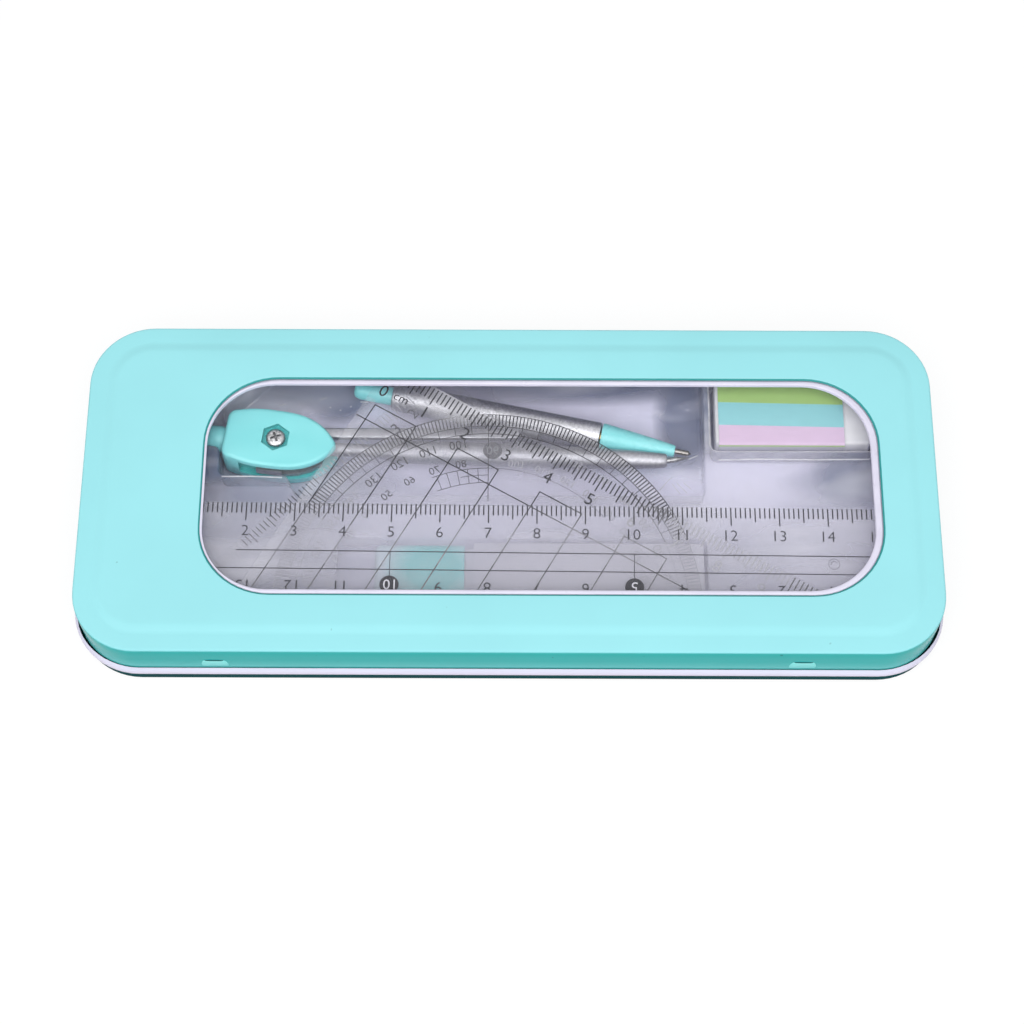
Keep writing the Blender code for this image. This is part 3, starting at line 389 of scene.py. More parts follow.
def drawn_out(side_view, left, right, soft=0.12):
    """A bar along x with this side view, its two ends slightly softened."""
    middle_y = sum(y for y, z in side_view) / len(side_view)
    rows = []
    for x, shrink in ((left, soft), (left + soft, 0.0), (right - soft, 0.0), (right, soft)):
        rows.append([Vector((x, y - 0.3 * shrink * (1 if y > middle_y else -1), z)) for y, z in side_view])
    return capped(rows)


pan_curl = curl(-90, 190, ((tab_root, pin_z - knuckle_out), (tab_root, pin_z - knuckle_in)))
pan_tabs = together([drawn_out(pan_curl, spot - tab_half, spot + tab_half) for spot in hinge_spots])
pan_slots += [0] * len(pan_tabs[1])
add_piece("tin_base", together([pan_shape, pan_tabs]), [pan_mint, pan_white],
          "case_base", "base_pan", slots=pan_slots)


# Hinge pins: two straight wires of bright steel, pushed through the curled tabs of base and lid.
# They keep their solids; drawing marks run along the wire.
def bright_metal(name, dark, light, rough, scale=900.0, stretch=(1.0, 1.0, 1.0), speckle=0.0):
    """Metal with fine marks in its colour and shine."""
    material, tree, shader = new_finish(name)
    plug(tree, shader, {
        "Base Color": wander(tree, grain(tree, scale, 4.0, stretch), dark, light),
        "Metallic": 1.0,
        "Roughness": wander(tree, grain(tree, scale * 0.4), *rough),
    })
    if speckle:
        plug(tree, shader, {"Normal": bumped(tree, grain(tree, scale * 2.0), speckle, 0.05)})
    return material


def dress(node, material):
    """Give a solid of the part its finish, and leave its shape alone."""
    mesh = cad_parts[node].data
    mesh.materials.clear()
    mesh.materials.append(material)


along_wire = (0.05, 1.0, 1.0)
pin_wire = bright_metal("pin_wire", (0.42, 0.42, 0.43), (0.62, 0.62, 0.63), (0.2, 0.35), 900.0, along_wire)
dress("hinge_pin_left", pin_wire)
dress("hinge_pin_right", pin_wire)


# Insert tray: one thin clear film, formed over a mould so that the compass, the eraser and the lead
# case each lie in a pocket. It lies loose in the base and the film is wrinkled. Blue-grey patches and
# streaks over the film are painted shade in its recesses; a pale patch, white streaks, milky strips
# along its folds and wrinkles and the milky walls of the eraser pocket are painted light, painted
# highlights and painted sheen.
def round_patch(tree, x, y, half_x, half_y):
    """A value that fades from one in the middle of an oval patch to nothing at its edge."""
    mapping = add_node(tree, "Mapping", {
        "Vector": own_place(tree),
        "Location": (-x / half_x, -y / half_y, 0.0),
        "Scale": (1 / (half_x * mm), 1 / (half_y * mm), 0.0),
    })["Vector"]
    node = tree.nodes.new("ShaderNodeTexGradient")
    node.gradient_type = "SPHERICAL"
    return plug(tree, node, {"Vector": mapping})["Fac"]


def veiled(tree, body, value, stops, shade):
    """A shader with a dull tone laid over it, as much as a value says; the tones are painted shade or painted
    light.
    """
    tone = add_node(tree, "BsdfDiffuse", {"Color": (*shade, 1.0)})[0]
    return mixed(tree, ramp(tree, value, stops), body, tone)


def clear_sheet(name, tint, haze, haze_colour, bend=1.2, rough=0.08, wave=(60.0, 0.2, 0.3),
                painted_patches=(), painted_streaks=()):
    """Clear plastic: mostly see-through, a little milky, with a weak shine that follows its waves. Painted
    patches and painted streaks lay dull tones over it as painted shade or painted light.
    """
    material, tree, shader = new_finish(name)
    through = add_node(tree, "BsdfTransparent", {"Color": (*tint, 1.0)})[0]
    milk = plug(tree, shader, {"Base Color": (*haze_colour, 1.0), "Roughness": 0.45})[0]
    body = mixed(tree, wander(tree, grain(tree, wave[0]), *haze), through, milk)
    for *patch, depth, shade in painted_patches:
        body = veiled(tree, body, round_patch(tree, *patch), [(0.0, 0.0), (0.45, depth)], shade)
    for scale, stretch, begin, full, depth, shade in painted_streaks:
        body = veiled(tree, body, grain(tree, scale, 2.0, stretch), [(begin, 0.0), (full, depth)], shade)
    normal = bumped(tree, grain(tree, wave[0] * 1.7, 2.0), wave[1], wave[2])
    shine = add_node(tree, "BsdfGlossy", {"Roughness": rough, "Normal": normal})[0]
    facing = add_node(tree, "LayerWeight", {"Normal": normal})["Facing"]
    head_on = ((bend - 1) / (bend + 1)) ** 2
    glance = reckoned(tree, "MULTIPLY_ADD", reckoned(tree, "POWER", facing, 5.0), 0.8 - head_on, head_on)
    plug(tree, tree.nodes["Material Output"], {"Surface": mixed(tree, glance, body, shine)})
    return material


def rounded(corners, radius, steps=6):
    """A flat outline with each of its corners rounded."""
    outline = []
    for index, corner in enumerate(corners):
        here = Vector(corner)
        to_last = (Vector(corners[index - 1]) - here).normalized()
        to_next = (Vector(corners[(index + 1) % len(corners)]) - here).normalized()
        half = to_last.angle(to_next) / 2
        centre = here + (to_last + to_next).normalized() * radius / math.sin(half)
        first = here + to_last * radius / math.tan(half) - centre
        last = here + to_next * radius / math.tan(half) - centre
        begin = math.atan2(first.y, first.x)
        swing = (math.atan2(last.y, last.x) - begin + math.pi) % (2 * math.pi) - math.pi
        for step in range(steps + 1):
            angle = begin + swing * step / steps
            outline.append(centre + radius * Vector((math.cos(angle), math.sin(angle))))
    return outline


def moved_out(outline, distance):
    """A flat outline moved outwards by a distance; it runs against the clock's way."""
    moved = []
    for index, here in enumerate(outline):
        before = (here - outline[index - 1]).normalized()
        after = (outline[(index + 1) % len(outline)] - here).normalized()
        one = Vector((before.y, -before.x))
        two = Vector((after.y, -after.x))
        moved.append(here + (one + two) * distance / max(0.5, 1.0 + one.dot(two)))
    return moved


def level(outline, z):
    """A flat outline at a height."""
    return [Vector((point.x, point.y, z)) for point in outline]


tray_low, tray_high = millimetres("insert_tray")
land = tray_high.z
pocket_floor = tray_low.z + sheet
tray_gap = 0.9
tray_shift = pan_middle[1]
compass_pocket = [(-75.3, 13.9), (-61.3, 12.0), (-61.3, 5.4), (-47.0, 5.4), (-44.5, 0.95), (41.1, 0.95)]
compass_pocket += [(41.1, 33.1), (-48.7, 33.1), (-61.3, 20.65), (-61.3, 17.8), (-75.3, 19.7)]
eraser_pocket = [(42.6, 11.5), (77.1, 11.5), (77.1, 29.4), (42.6, 29.4)]
lead_pocket = [(-35.6, -22.4), (41.0, -22.4), (41.0, -9.0), (-35.6, -9.0)]
# Painted shade and painted light on the film: the blue-grey patches and streaks are painted shade, the pale
# patch and the white streaks are painted light.
shade_blue_grey = (0.125, 0.16, 0.27)
film_painted_patches = [(38.4, 21.0, 8.0, 13.0, 0.62, shade_blue_grey), (15.0, 31.0, 34.0, 7.0, 0.6, shade_blue_grey)]
film_painted_patches += [(-48.0, 29.0, 24.0, 6.0, 0.9, shade_blue_grey), (-36.5, 27.0, 8.5, 7.5, 0.7, shade_blue_grey)]
film_painted_patches.append((-56.0, 22.8, 13.0, 4.2, 0.55, (0.80, 0.82, 0.95)))
film_painted_patches += [(-64.0, 7.0, 9.0, 5.5, 0.8, shade_blue_grey), (-52.0, 0.5, 9.0, 6.0, 0.25, shade_blue_grey)]
film_painted_patches += [(-60.0, -14.0, 34.0, 24.0, 0.22, shade_blue_grey), (72.0, 5.0, 9.0, 9.0, 0.4, shade_blue_grey)]
film_painted_streaks = [(75.0, (0.35, 1.0, 1.0), 0.52, 0.85, 0.45, shade_blue_grey)]
film_painted_streaks.append((95.0, (0.25, 1.0, 1.0), 0.48, 0.85, 0.75, (0.92, 0.92, 1.0)))
film = clear_sheet("tray_film", (0.99, 0.99, 0.995), (0.08, 0.16), (0.93, 0.92, 1.0), 1.45, 0.06,
                   (170.0, 0.9, 0.7), film_painted_patches, film_painted_streaks)
# Painted highlight and painted sheen: the fold material is whiter and milkier than the film, and the side
# material makes the eraser pocket's walls milky.
film_fold_highlight = clear_sheet("tray_fold_highlight", (0.98, 0.98, 0.985), (0.4, 0.75), (0.95, 0.95, 1.0), 1.5, 0.08,
                        (300.0, 0.6, 0.4))
film_side_sheen = clear_sheet("tray_side_sheen", (0.98, 0.98, 0.985), (0.35, 0.6), (0.74, 0.75, 0.86), 1.4, 0.1,
                        (200.0, 0.6, 0.4))

tray_shape = bmesh.new()


def film_row(points):
    """New points of the film."""
    return [tray_shape.verts.new(Vector(point) * mm) for point in points]


def film_wall(rows, folds=(), sides=()):
    """Film over rows of points; some of its bands carry a painted highlight along a fold or a milky painted
    sheen on a side wall.
    """
    for band, (row, after) in enumerate(zip(rows, rows[1:])):
        for one in range(len(row)):
            two = (one + 1) % len(row)
            face = tray_shape.faces.new((row[one], row[two], after[two], after[one]))
            face.material_index = 1 if band in folds else 2 if band in sides else 0


def film_edges(row):
    """The edges round a row, for the flat film that joins it to the others."""
    return [tray_shape.edges.get((row[one - 1], row[one])) for one in range(len(row))]


outer_rows = []
for inset, z in ((0.0, tray_low.z), (0.5, land - 1.0), (0.65, land - 0.45), (0.95, land - 0.1), (1.4, land)):
    shrink = tray_gap + inset
    outer_rows.append(film_row(ring_row(
        pan_half_x - shrink, pan_half_y - shrink, pan_corner - shrink, z, (0.0, tray_shift), 10,
    )))
film_wall(outer_rows, (2, 3))
rim_edges = film_edges(outer_rows[-1])
for pocket in (compass_pocket, eraser_pocket, lead_pocket):
    outline = rounded([(x, y + tray_shift) for x, y in pocket], 1.5)
    pocket_rows = []
    for grow, z in ((0.45, land), (0.2, land - 0.12), (0.05, land - 0.4), (0.0, land - 1.0),
                    (-0.15, pocket_floor + 1.0), (-0.3, pocket_floor + 0.3), (-0.7, pocket_floor)):
        wavy = []
        for point in level(moved_out(outline, grow), z):
            wobble = noise.noise(Vector((point.x * 0.13, point.y * 0.13, z * 0.3)))
            wavy.append(point + Vector((0.0, 0.0, 0.12 * wobble if grow < 0.4 else 0.0)))
        pocket_rows.append(film_row(wavy))
    if pocket is eraser_pocket:
        film_wall(pocket_rows, (0, 1, 5), (2, 3, 4))
    else:
        film_wall(pocket_rows)
    tray_shape.faces.new(pocket_rows[-1])
    rim_edges += film_edges(pocket_rows[0])
bmesh.ops.triangle_fill(tray_shape, use_beauty=True, edges=rim_edges)
# Painted highlights: thin milky strips along folds and wrinkles of the film.
land_crease_highlights = [
    [(44.0, 8.3), (52.0, 8.55), (64.0, 8.45), (75.8, 8.6)],
    [(-60.5, 4.1), (-54.0, 4.15), (-47.8, 3.9)],
]
pocket_crease_highlights = [
    [(31.9, 4.4), (34.0, 6.9), (37.4, 9.7), (40.2, 11.6)],
    [(35.5, 10.1), (38.0, 11.6), (40.3, 12.6)],
    [(34.6, 5.9), (36.2, 3.6)],
    [(35.6, 6.1), (37.7, 3.8)],
    [(37.1, 6.1), (38.6, 4.7)],
    [(-20.0, 29.0), (-8.0, 30.6), (6.0, 31.0)],
    [(14.0, 30.8), (22.0, 29.2), (33.0, 30.6)],
]
for wrinkle in range(10):
    x = -50.0 + 2.2 * wrinkle
    y = 24.2 + 3.4 * noise.noise(Vector((1.7 * wrinkle, 0.35, 0.0)))
    slope = 1.4 * noise.noise(Vector((0.25, 1.3 * wrinkle, 0.0)))
    reach = 0.35 if wrinkle % 4 else 1.6
    pocket_crease_highlights.append([(x, y), (x + reach, y + slope * reach / 2)])
crease_half = 0.14
crease_lift = 0.03
for height, crease_highlights in ((land, land_crease_highlights), (pocket_floor, pocket_crease_highlights)):
    z = height + crease_lift
    for crease_highlight in crease_highlights:
        for (x, y), (next_x, next_y) in zip(crease_highlight, crease_highlight[1:]):
            corners = film_row([(x, y - crease_half, z), (next_x, next_y - crease_half, z),
                                (next_x, next_y + crease_half, z), (x, y + crease_half, z)])
            tray_shape.faces.new(corners).material_index = 1
bmesh.ops.recalc_face_normals(tray_shape, faces=tray_shape.faces)
tray_mesh = bpy.data.meshes.new("formed_tray")
tray_shape.to_mesh(tray_mesh)
tray_shape.free()
smoothed(tray_mesh, 40)
for material in (film, film_fold_highlight, film_side_sheen):
    tray_mesh.materials.append(material)
hang(add_object("formed_tray", tray_mesh), "case_base", "insert_tray")


# Compass head: a moulded mint yoke. The legs turn in its slot about a screw that sits, with its nut,
# in six-sided sockets. A round handle plugs into its flat back.
def moulded(name, deep, pale, rough=(0.28, 0.4), scale=260.0):
    """Moulded plastic with faint flow marks and a soft satin skin."""
    material, tree, shader = new_finish(name)
    plug(tree, shader, {
        "Base Color": wander(tree, grain(tree, scale, 3.0, (0.4, 1.0, 1.0)), deep, pale),
        "Roughness": wander(tree, grain(tree, scale * 2.5), *rough),
        "Normal": bumped(tree, grain(tree, 2600.0), 0.06, 0.02),
    })
    return material


def cut_away(piece, cutters, lining=0):
    """Cut shapes, given as points and faces, out of a piece; lining is the material slot of the new walls."""
    tools = []
    for index, shape in enumerate(cutters):
        walls = [lining] * len(shape[1])
        tool = add_piece("cutter_%d" % index, shape, list(piece.data.materials), slots=walls)
        tools.append(tool)
        cut = piece.modifiers.new("cut_%d" % index, "BOOLEAN")
        cut.operation = "DIFFERENCE"
        cut.solver = "EXACT"
        cut.object = tool
    bpy.context.view_layer.update()
    ready = bpy.data.meshes.new_from_object(piece.evaluated_get(bpy.context.evaluated_depsgraph_get()))
    piece.modifiers.clear()
    piece.data = ready
    smoothed(ready, 35)
    for tool in tools:
        bpy.data.objects.remove(tool)


def block(low, high):
    """An upright box between two corners."""
    rows = []
    for z in (low[2], high[2]):
        rows.append([Vector((low[0], low[1], z)), Vector((high[0], low[1], z)),
                     Vector((high[0], high[1], z)), Vector((low[0], high[1], z))])
    return capped(rows)


def round_rows(profile, place, steps):
    """Rings about the x axis of a place, from pairs of a position along it and a radius."""
    rows = []
    for spot, radius in profile:
        row = []
        for angle in sweep(0, 360, steps)[:-1]:
            row.append(place @ Vector((spot, radius * math.cos(angle), radius * math.sin(angle))))
        rows.append(row)
    return rows


def turned(profile, place, steps=40):
    """A round solid about the x axis of a place."""
    return capped(round_rows(profile, place, steps))


def placed(shape, place):
    """A shape set in its place."""
    points, faces = shape
    return [place @ point for point in points], faces


head_low, head_high = millimetres("compass_head")
pivot = Matrix.Translation((-49.4, 12.4, 0.0))
pivot_line = pivot @ Matrix.Rotation(math.radians(-90), 4, "Y")
head_line = pivot @ Matrix.Rotation(math.radians(-8.0), 4, "Z")
leg_level = 5.7
slot_low = 4.0
slot_high = 8.6
head_back = -10.9
head_tip = 13.4
head_half = 6.65
head_off = -0.15
head_corner = 2.0
back_taper = 1.6
tip_taper = 3.4
widest = 0.36
head_mint = moulded("head_mint", (0.245, 0.79, 0.82), (0.29, 0.85, 0.88))
head_shade = moulded("head_shade", (0.05, 0.44, 0.45), (0.09, 0.54, 0.54))


def head_width(part):
    """Half the width of the head, at a part of the way from its back to its tip."""
    if part < widest:
        return head_half - back_taper * ((widest - part) / widest) ** 2
    return head_half * (1 - ((part - widest) / (1 - widest)) ** tip_taper)


head_upper = []
first_part = head_corner / (head_tip - head_back)
for angle in sweep(0, 90, 5):
    across = head_width(first_part) - head_corner * (1 - math.sin(angle))
    head_upper.append(Vector((head_back + head_corner * (1 - math.cos(angle)), across)))
for step in range(1, 37):
    part = first_part + (1 - first_part) * step / 36
    head_upper.append(Vector((head_back + (head_tip - head_back) * part, head_width(part))))
head_outline = [Vector((point.x, -point.y)) for point in head_upper[:-1]] + head_upper[::-1]
for smoothing in range(3):
    smoother = []
    for index, here in enumerate(head_outline):
        beside = (head_outline[index - 1] + head_outline[(index + 1) % len(head_outline)]) / 2
        smoother.append(here.lerp(beside, 0.45) if here.x > head_tip - 3.0 else here)
    head_outline = smoother


def head_row(inset, z):
    """One loop of the head, so far inside its outline and so high."""
    row = []
    for point in head_outline:
        across = head_off + point.y * (1 - inset / head_half)
        row.append(head_line @ Vector((point.x * (1 - inset / head_tip), across, z)))
    return row


head_edge = [(1.0, 0.0), (0.55, 0.06), (0.18, 0.3), (0.0, 0.75)]
head_rows = [head_row(inset, head_low.z + z) for inset, z in head_edge]
head_rows += [head_row(inset, head_high.z - z) for inset, z in head_edge[::-1]]
yoke = add_piece("compass_yoke", capped(head_rows), [head_mint, head_shade])
sockets = []
socket_half = 3.2
for low, high in ((head_low.z - 1.0, head_low.z + 1.5), (head_high.z - 1.1, head_high.z + 1.0)):
    hexagon = []
    for z in (low, high):
        hexagon.append([Vector((socket_half * math.cos(angle), socket_half * math.sin(angle), z))
                        for angle in sweep(30, 330, 5)])
    sockets.append(placed(capped(hexagon), head_line))
leg_slot = placed(block((-3.6, -10.0, slot_low), (20.0, 10.0, slot_high)), head_line)
slot_steps = [placed(block((-7.0, -10.0, slot_low), (-3.4, -5.2, slot_high)), head_line)]
slot_steps.append(placed(block((-7.0, 4.4, slot_low), (-3.4, 10.0, slot_high)), head_line))
screw_hole = turned([(0.0, 1.25), (12.0, 1.25)], pivot_line, 24)
cut_away(yoke, [leg_slot, *slot_steps, *sockets, screw_hole], 1)
hang(yoke, "case_base", "compass_head")

grip_line = head_line @ Matrix.Translation((head_back, -0.2, leg_level))
grip = [(-14.0, 0.6), (-13.9, 1.2), (-13.5, 1.6), (-12.8, 1.95), (-12.0, 2.1), (-11.0, 2.15)]
for ridge in range(5):
    start = -10.6 + ridge * 1.2
    grip += [(start, 2.2), (start + 0.55, 2.2), (start + 0.7, 1.95), (start + 1.05, 1.95)]
grip += [(-4.3, 2.2), (-3.9, 2.55), (-2.6, 2.8), (-1.0, 2.8), (-0.05, 2.5)]
grip += [(-0.05, 1.15), (4.0, 1.15), (4.2, 0.95)]
add_piece("compass_grip", turned(grip, grip_line), [head_mint], "case_base", "compass_handle")

screw_low, screw_high = millimetres("pivot_screw")
screw_steel = bright_metal("screw_steel", (0.24, 0.24, 0.25), (0.86, 0.86, 0.88), (0.25, 0.45), 2300.0,
                           speckle=0.7)
# Painted shade: the walls of the cross recess in the screw head are a dark steel, for the shade inside it.
screw_recess_shade = bright_metal("screw_recess", (0.06, 0.06, 0.065), (0.34, 0.34, 0.36), (0.4, 0.6), 2300.0)
head_seat = screw_high.z - 0.6
screw_side = [(screw_low.z, 0.7), (screw_low.z + 0.3, 0.95), (head_seat, 0.95), (head_seat, 1.95)]
screw_side += [(head_seat + 0.1, 2.05), (head_seat + 0.5, 2.05), (head_seat + 0.8, 1.85)]
screw_side += [(head_seat + 1.0, 1.4), (head_seat + 1.1, 0.8)]
screw = add_piece("pivot_cross_screw", turned(screw_side, pivot_line, 36), [screw_steel, screw_recess_shade])
crosses = []
for turn in (20, 110):
    cross = block((-1.15, -0.24, head_seat + 0.45), (1.15, 0.24, head_seat + 2.0))
    crosses.append(placed(cross, pivot @ Matrix.Rotation(math.radians(turn), 4, "Z")))
cut_away(screw, crosses, 1)
hang(screw, "case_base", "pivot_screw")
dress("pivot_nut", screw_steel)


# Needle leg: a turned leg with a flat eye on the pivot, in satin silver, and a steel needle set in
# its end. It swings in the slot of the head.
def along(start, end):
    """A place at the start whose x axis points to the end."""
    way = (Vector(end) - Vector(start)).normalized()
    return Matrix.Translation(start) @ way.to_track_quat("X", "Z").to_matrix().to_4x4()


leg_silver = bright_metal("leg_silver", (0.38, 0.38, 0.42), (0.52, 0.52, 0.56), (0.48, 0.62), 1600.0,
                          speckle=0.15)
leg_start = Vector((-44.4, 11.8, leg_level))
leg_tip = Vector((38.0, 9.0, leg_level))
leg_end = (leg_tip - leg_start).length - 4.8
leg_line = along(leg_start, leg_tip)
leg_side = [(-1.0, 1.0), (-0.6, 1.3), (0.0, 1.4), (15.0, 1.4), (17.0, 1.6), (19.0, 2.1), (20.0, 2.4)]
leg_side += [(20.6, 2.45), (50.0, 2.45), (leg_end - 16.0, 2.3), (leg_end - 7.0, 2.0), (leg_end - 1.2, 1.6)]
leg_side += [(leg_end - 0.3, 1.5), (leg_end, 1.3), (leg_end, 0.7), (leg_end - 3.0, 0.7)]
web_low = 4.2
web_high = 5.4


def leg_eye(low, high):
    """The flat eye of a leg on the pivot, with its edges broken."""
    profile = [(low, 0.0001), (low, 3.0), (low + 0.1, 3.15)]
    profile += [(high - 0.1, 3.15), (high, 3.0), (high, 0.0001)]
    return turned(profile, pivot_line, 36)


needle_web = block((-48.4, 10.6, web_low), (-42.6, 12.6, web_high))
root_outline = [(-3.0, -6.3), (2.4, -6.2), (5.5, -5.6), (8.0, -4.4), (10.0, -2.8), (10.0, 0.0), (-3.0, 0.0)]
root_rows = [[Vector((x, y, z)) for x, y in root_outline] for z in (web_low, web_high)]
needle_root = placed(capped(root_rows), head_line)
needle_shapes = [turned(leg_side, leg_line, 36), leg_eye(4.15, 5.45), needle_web, needle_root]
add_piece("needle_leg_turned", together(needle_shapes), [leg_silver],
          "needle_leg", "needle_leg")
needle_steel = bright_metal("needle_steel", (0.16, 0.16, 0.17), (0.52, 0.52, 0.54), (0.25, 0.4), 1500.0)
needle_line = leg_line @ Matrix.Translation((leg_end, 0.0, 0.0)) @ Matrix.Rotation(math.radians(11.0), 4, "Z")
needle_side = [(-2.4, 0.6), (2.2, 0.6), (2.5, 0.5), (4.6, 0.12), (4.8, 0.02)]
add_piece("needle_point", turned(needle_side, needle_line, 20), [needle_steel],
          "needle_leg", "compass_needle")


# Pencil leg: a light arm from the pivot holds a push-button pencil in its saddle. The barrel is
# sprayed silver, the cone and button are mint plastic, and the lead runs out of a thin steel sleeve.
def bored(profile, place, steps):
    """A round shape with a bore; its profile runs out along the outside and back along the bore."""
    return skin(round_rows(profile, place, steps), True)


arm_silver = bright_metal("arm_silver", (0.42, 0.42, 0.46), (0.52, 0.52, 0.56), (0.4, 0.55), 1300.0,
                          speckle=0.1)
pencil_tip = Vector((38.0, 11.3, 4.7))
pencil_line = Matrix.Translation(pencil_tip) @ Matrix.Rotation(math.radians(-12.0), 4, "Z")
arm_low = 5.8
arm_high = 7.1
arm_half = 1.2
saddle_spot = pencil_line @ Vector((-36.0, -4.0, 0.0))
arm_from = Vector((-44.4, 14.9, 0.0))
arm_to = Vector((saddle_spot.x, saddle_spot.y, 0.0))
arm_place = along(arm_from, arm_to)
arm_reach = (arm_to - arm_from).length
arm_rows = []
for x, shrink in ((-1.6, 0.5), (-1.2, 0.0), (arm_reach - 0.6, 0.0), (arm_reach, 0.4)):
    half = arm_half - shrink
    corners = [(-half, 0.0), (half, 0.0), (half, arm_high - arm_low), (-half, arm_high - arm_low)]
    section = rounded(corners, 0.35, 3)
    arm_rows.append([arm_place @ Vector((x, point.x, arm_low + point.y)) for point in section])
arm_heel = placed(block((-3.2, -6.75, 5.55), (2.2, -0.5, 7.3)), head_line)
saddle_out = 4.1
saddle_in = 3.25
saddle_rows = []
for x, shrink in ((-40.5, 0.25), (-40.2, 0.0), (-31.8, 0.0), (-31.5, 0.25)):
    outer = saddle_out - shrink
    row = [outer * Vector((math.cos(angle), math.sin(angle))) for angle in sweep(128, 232, 12)]
    row += [saddle_in * Vector((math.cos(angle), math.sin(angle))) for angle in sweep(232, 128, 12)]
    saddle_rows.append([pencil_line @ Vector((x, point.x, point.y)) for point in row])
arm_shapes = [capped(arm_rows), leg_eye(5.75, 8.2), arm_heel, capped(saddle_rows)]
add_piece("pencil_arm_bar", together(arm_shapes), [arm_silver], "pencil_leg", "pencil_arm")

barrel_silver = bright_metal("barrel_silver", (0.42, 0.42, 0.45), (0.70, 0.70, 0.74), (0.40, 0.56), 2400.0,
                             speckle=0.35)
barrel_side = [(-64.1, 2.3), (-64.4, 2.45), (-64.4, 2.8), (-64.2, 2.95), (-63.9, 3.0), (-40.0, 3.0)]
barrel_side += [(-19.6, 3.0), (-19.3, 2.95), (-19.2, 2.8), (-19.2, 2.45), (-19.4, 2.3)]
add_piece("barrel_tube", bored(barrel_side, pencil_line, 48), [barrel_silver],
          "pencil_leg", "pencil_barrel")
cone_mint = moulded("cone_mint", (0.24, 0.76, 0.79), (0.32, 0.84, 0.87), (0.22, 0.34))
cone_side = [(-18.9, 2.5), (-18.9, 2.85), (-18.75, 2.98), (-18.3, 2.97), (-12.0, 2.32), (-6.0, 1.62)]
cone_side += [(-3.5, 1.3), (-3.1, 1.22), (-3.0, 1.1), (-3.0, 0.78), (-6.8, 0.78), (-9.5, 1.6), (-18.0, 2.4)]
add_piece("pencil_front_cone", bored(cone_side, pencil_line, 44), [cone_mint],
          "pencil_leg", "pencil_cone")
tip_steel = bright_metal("tip_steel", (0.18, 0.17, 0.16), (0.34, 0.32, 0.31), (0.25, 0.4), 1400.0)
tip_side = [(-6.6, 0.6), (-0.25, 0.6), (-0.05, 0.55), (0.0, 0.48), (-0.02, 0.42), (-0.5, 0.42)]
add_piece("lead_sleeve", turned(tip_side, pencil_line, 28), [tip_steel],
          "pencil_leg", "pencil_tip_sleeve")
button_mint = moulded("button_mint", (0.24, 0.76, 0.79), (0.32, 0.84, 0.87))
button_side = [(-72.9, 0.6), (-72.85, 1.2), (-72.6, 1.6), (-72.1, 1.85), (-71.5, 1.96), (-70.1, 2.0)]
button_side += [(-60.4, 2.0), (-60.1, 1.8), (-60.1, 1.4)]
add_piece("push_cap", turned(button_side, pencil_line, 40), [button_mint],
          "push_button", "push_button")
chuck_brass = bright_metal("chuck_brass", (0.55, 0.40, 0.16), (0.75, 0.58, 0.28), (0.2, 0.35), 1400.0)
dress("lead_chuck", chuck_brass)
dress("clutch_ring", chuck_brass)
dress("pencil_spring", tip_steel)
dress("lead_tube", moulded("tube_white", (0.72, 0.72, 0.75), (0.80, 0.80, 0.83)))
graphite = moulded("graphite", (0.03, 0.03, 0.035), (0.07, 0.07, 0.075), (0.35, 0.5), 1500.0)
dress("pencil_lead", graphite)


# Eraser: a white rubber block in a folded card sleeve printed with plain green, blue and pink bands.
# The sleeve slides along the block.
def soft_box(low, high, corner, round_over):
    """An upright box with rounded corners and rounded edges."""
    middle = ((high.x + low.x) / 2, (high.y + low.y) / 2)
    quarter = sweep(0, 90, 4)
    heights = [(1 - math.sin(angle), low.z + round_over * (1 - math.cos(angle))) for angle in quarter]
    heights += [(1 - math.cos(angle), high.z - round_over * (1 - math.sin(angle))) for angle in quarter]
    rows = []
    for part, z in heights:
        inset = round_over * part
        half_x = (high.x - low.x) / 2 - inset
        half_y = (high.y - low.y) / 2 - inset
        rows.append(ring_row(half_x, half_y, max(0.05, corner - inset), z, middle, 6))
    return capped(rows)


def lying_rows(low, high, spots, corner, steps):
    """Rows of a rounded box that lies along x, from pairs of a place along it and an inset."""
    middle = ((high.y + low.y) / 2, (high.z + low.z) / 2)
    rows = []
    for x, inset in spots:
        half_y = (high.y - low.y) / 2 - inset
        half_z = (high.z - low.z) / 2 - inset
        section = ring_row(half_y, half_z, max(0.3, corner - inset), 0.0, middle, steps)
        rows.append([Vector((x, point.x, point.y)) for point in section])
    return rows


rubber_low, rubber_high = millimetres("eraser_block")
rubber = moulded("eraser_rubber", (0.84, 0.84, 0.88), (0.90, 0.90, 0.94), (0.6, 0.8), 500.0)
add_piece("rubber_block", soft_box(rubber_low, rubber_high, 0.9, 0.6), [rubber],
          "case_base", "eraser_block")

card_low, card_high = millimetres("eraser_sleeve")
card_print, card_tree, card_shader = new_finish("sleeve_card")
card_place = add_node(card_tree, "SeparateXYZ", {0: own_place(card_tree)})
card_across = reckoned(card_tree, "MULTIPLY_ADD", card_place["X"], 0.02, card_place["Y"])
card_bands = ramp(card_tree, part_way(card_tree, card_across, card_low.y, card_high.y), [
    (0.0, (0.76, 0.58, 0.79)), (0.337, (0.31, 0.69, 0.75)), (0.661, (0.42, 0.64, 0.22)),
])
card_bands.node.color_ramp.interpolation = "CONSTANT"
card_rise = part_way(card_tree, card_place["Z"], card_high.z - 1.6, card_high.z)
card_side = ramp(card_tree, card_rise, [
    (0.0, (0.60, 0.60, 0.68)), (0.5, (0.60, 0.62, 0.64)), (0.56, (0.40, 0.62, 0.21)),
])
card_over = ramp(card_tree, card_rise, [(0.74, 0.0), (0.78, 1.0)])
card_wrap = blended(card_tree, "MIX", card_over, card_side, card_bands)
card_fibre = wander(card_tree, grain(card_tree, 1200.0, 4.0, (0.3, 1.0, 1.0)), 0.93, 1.0)
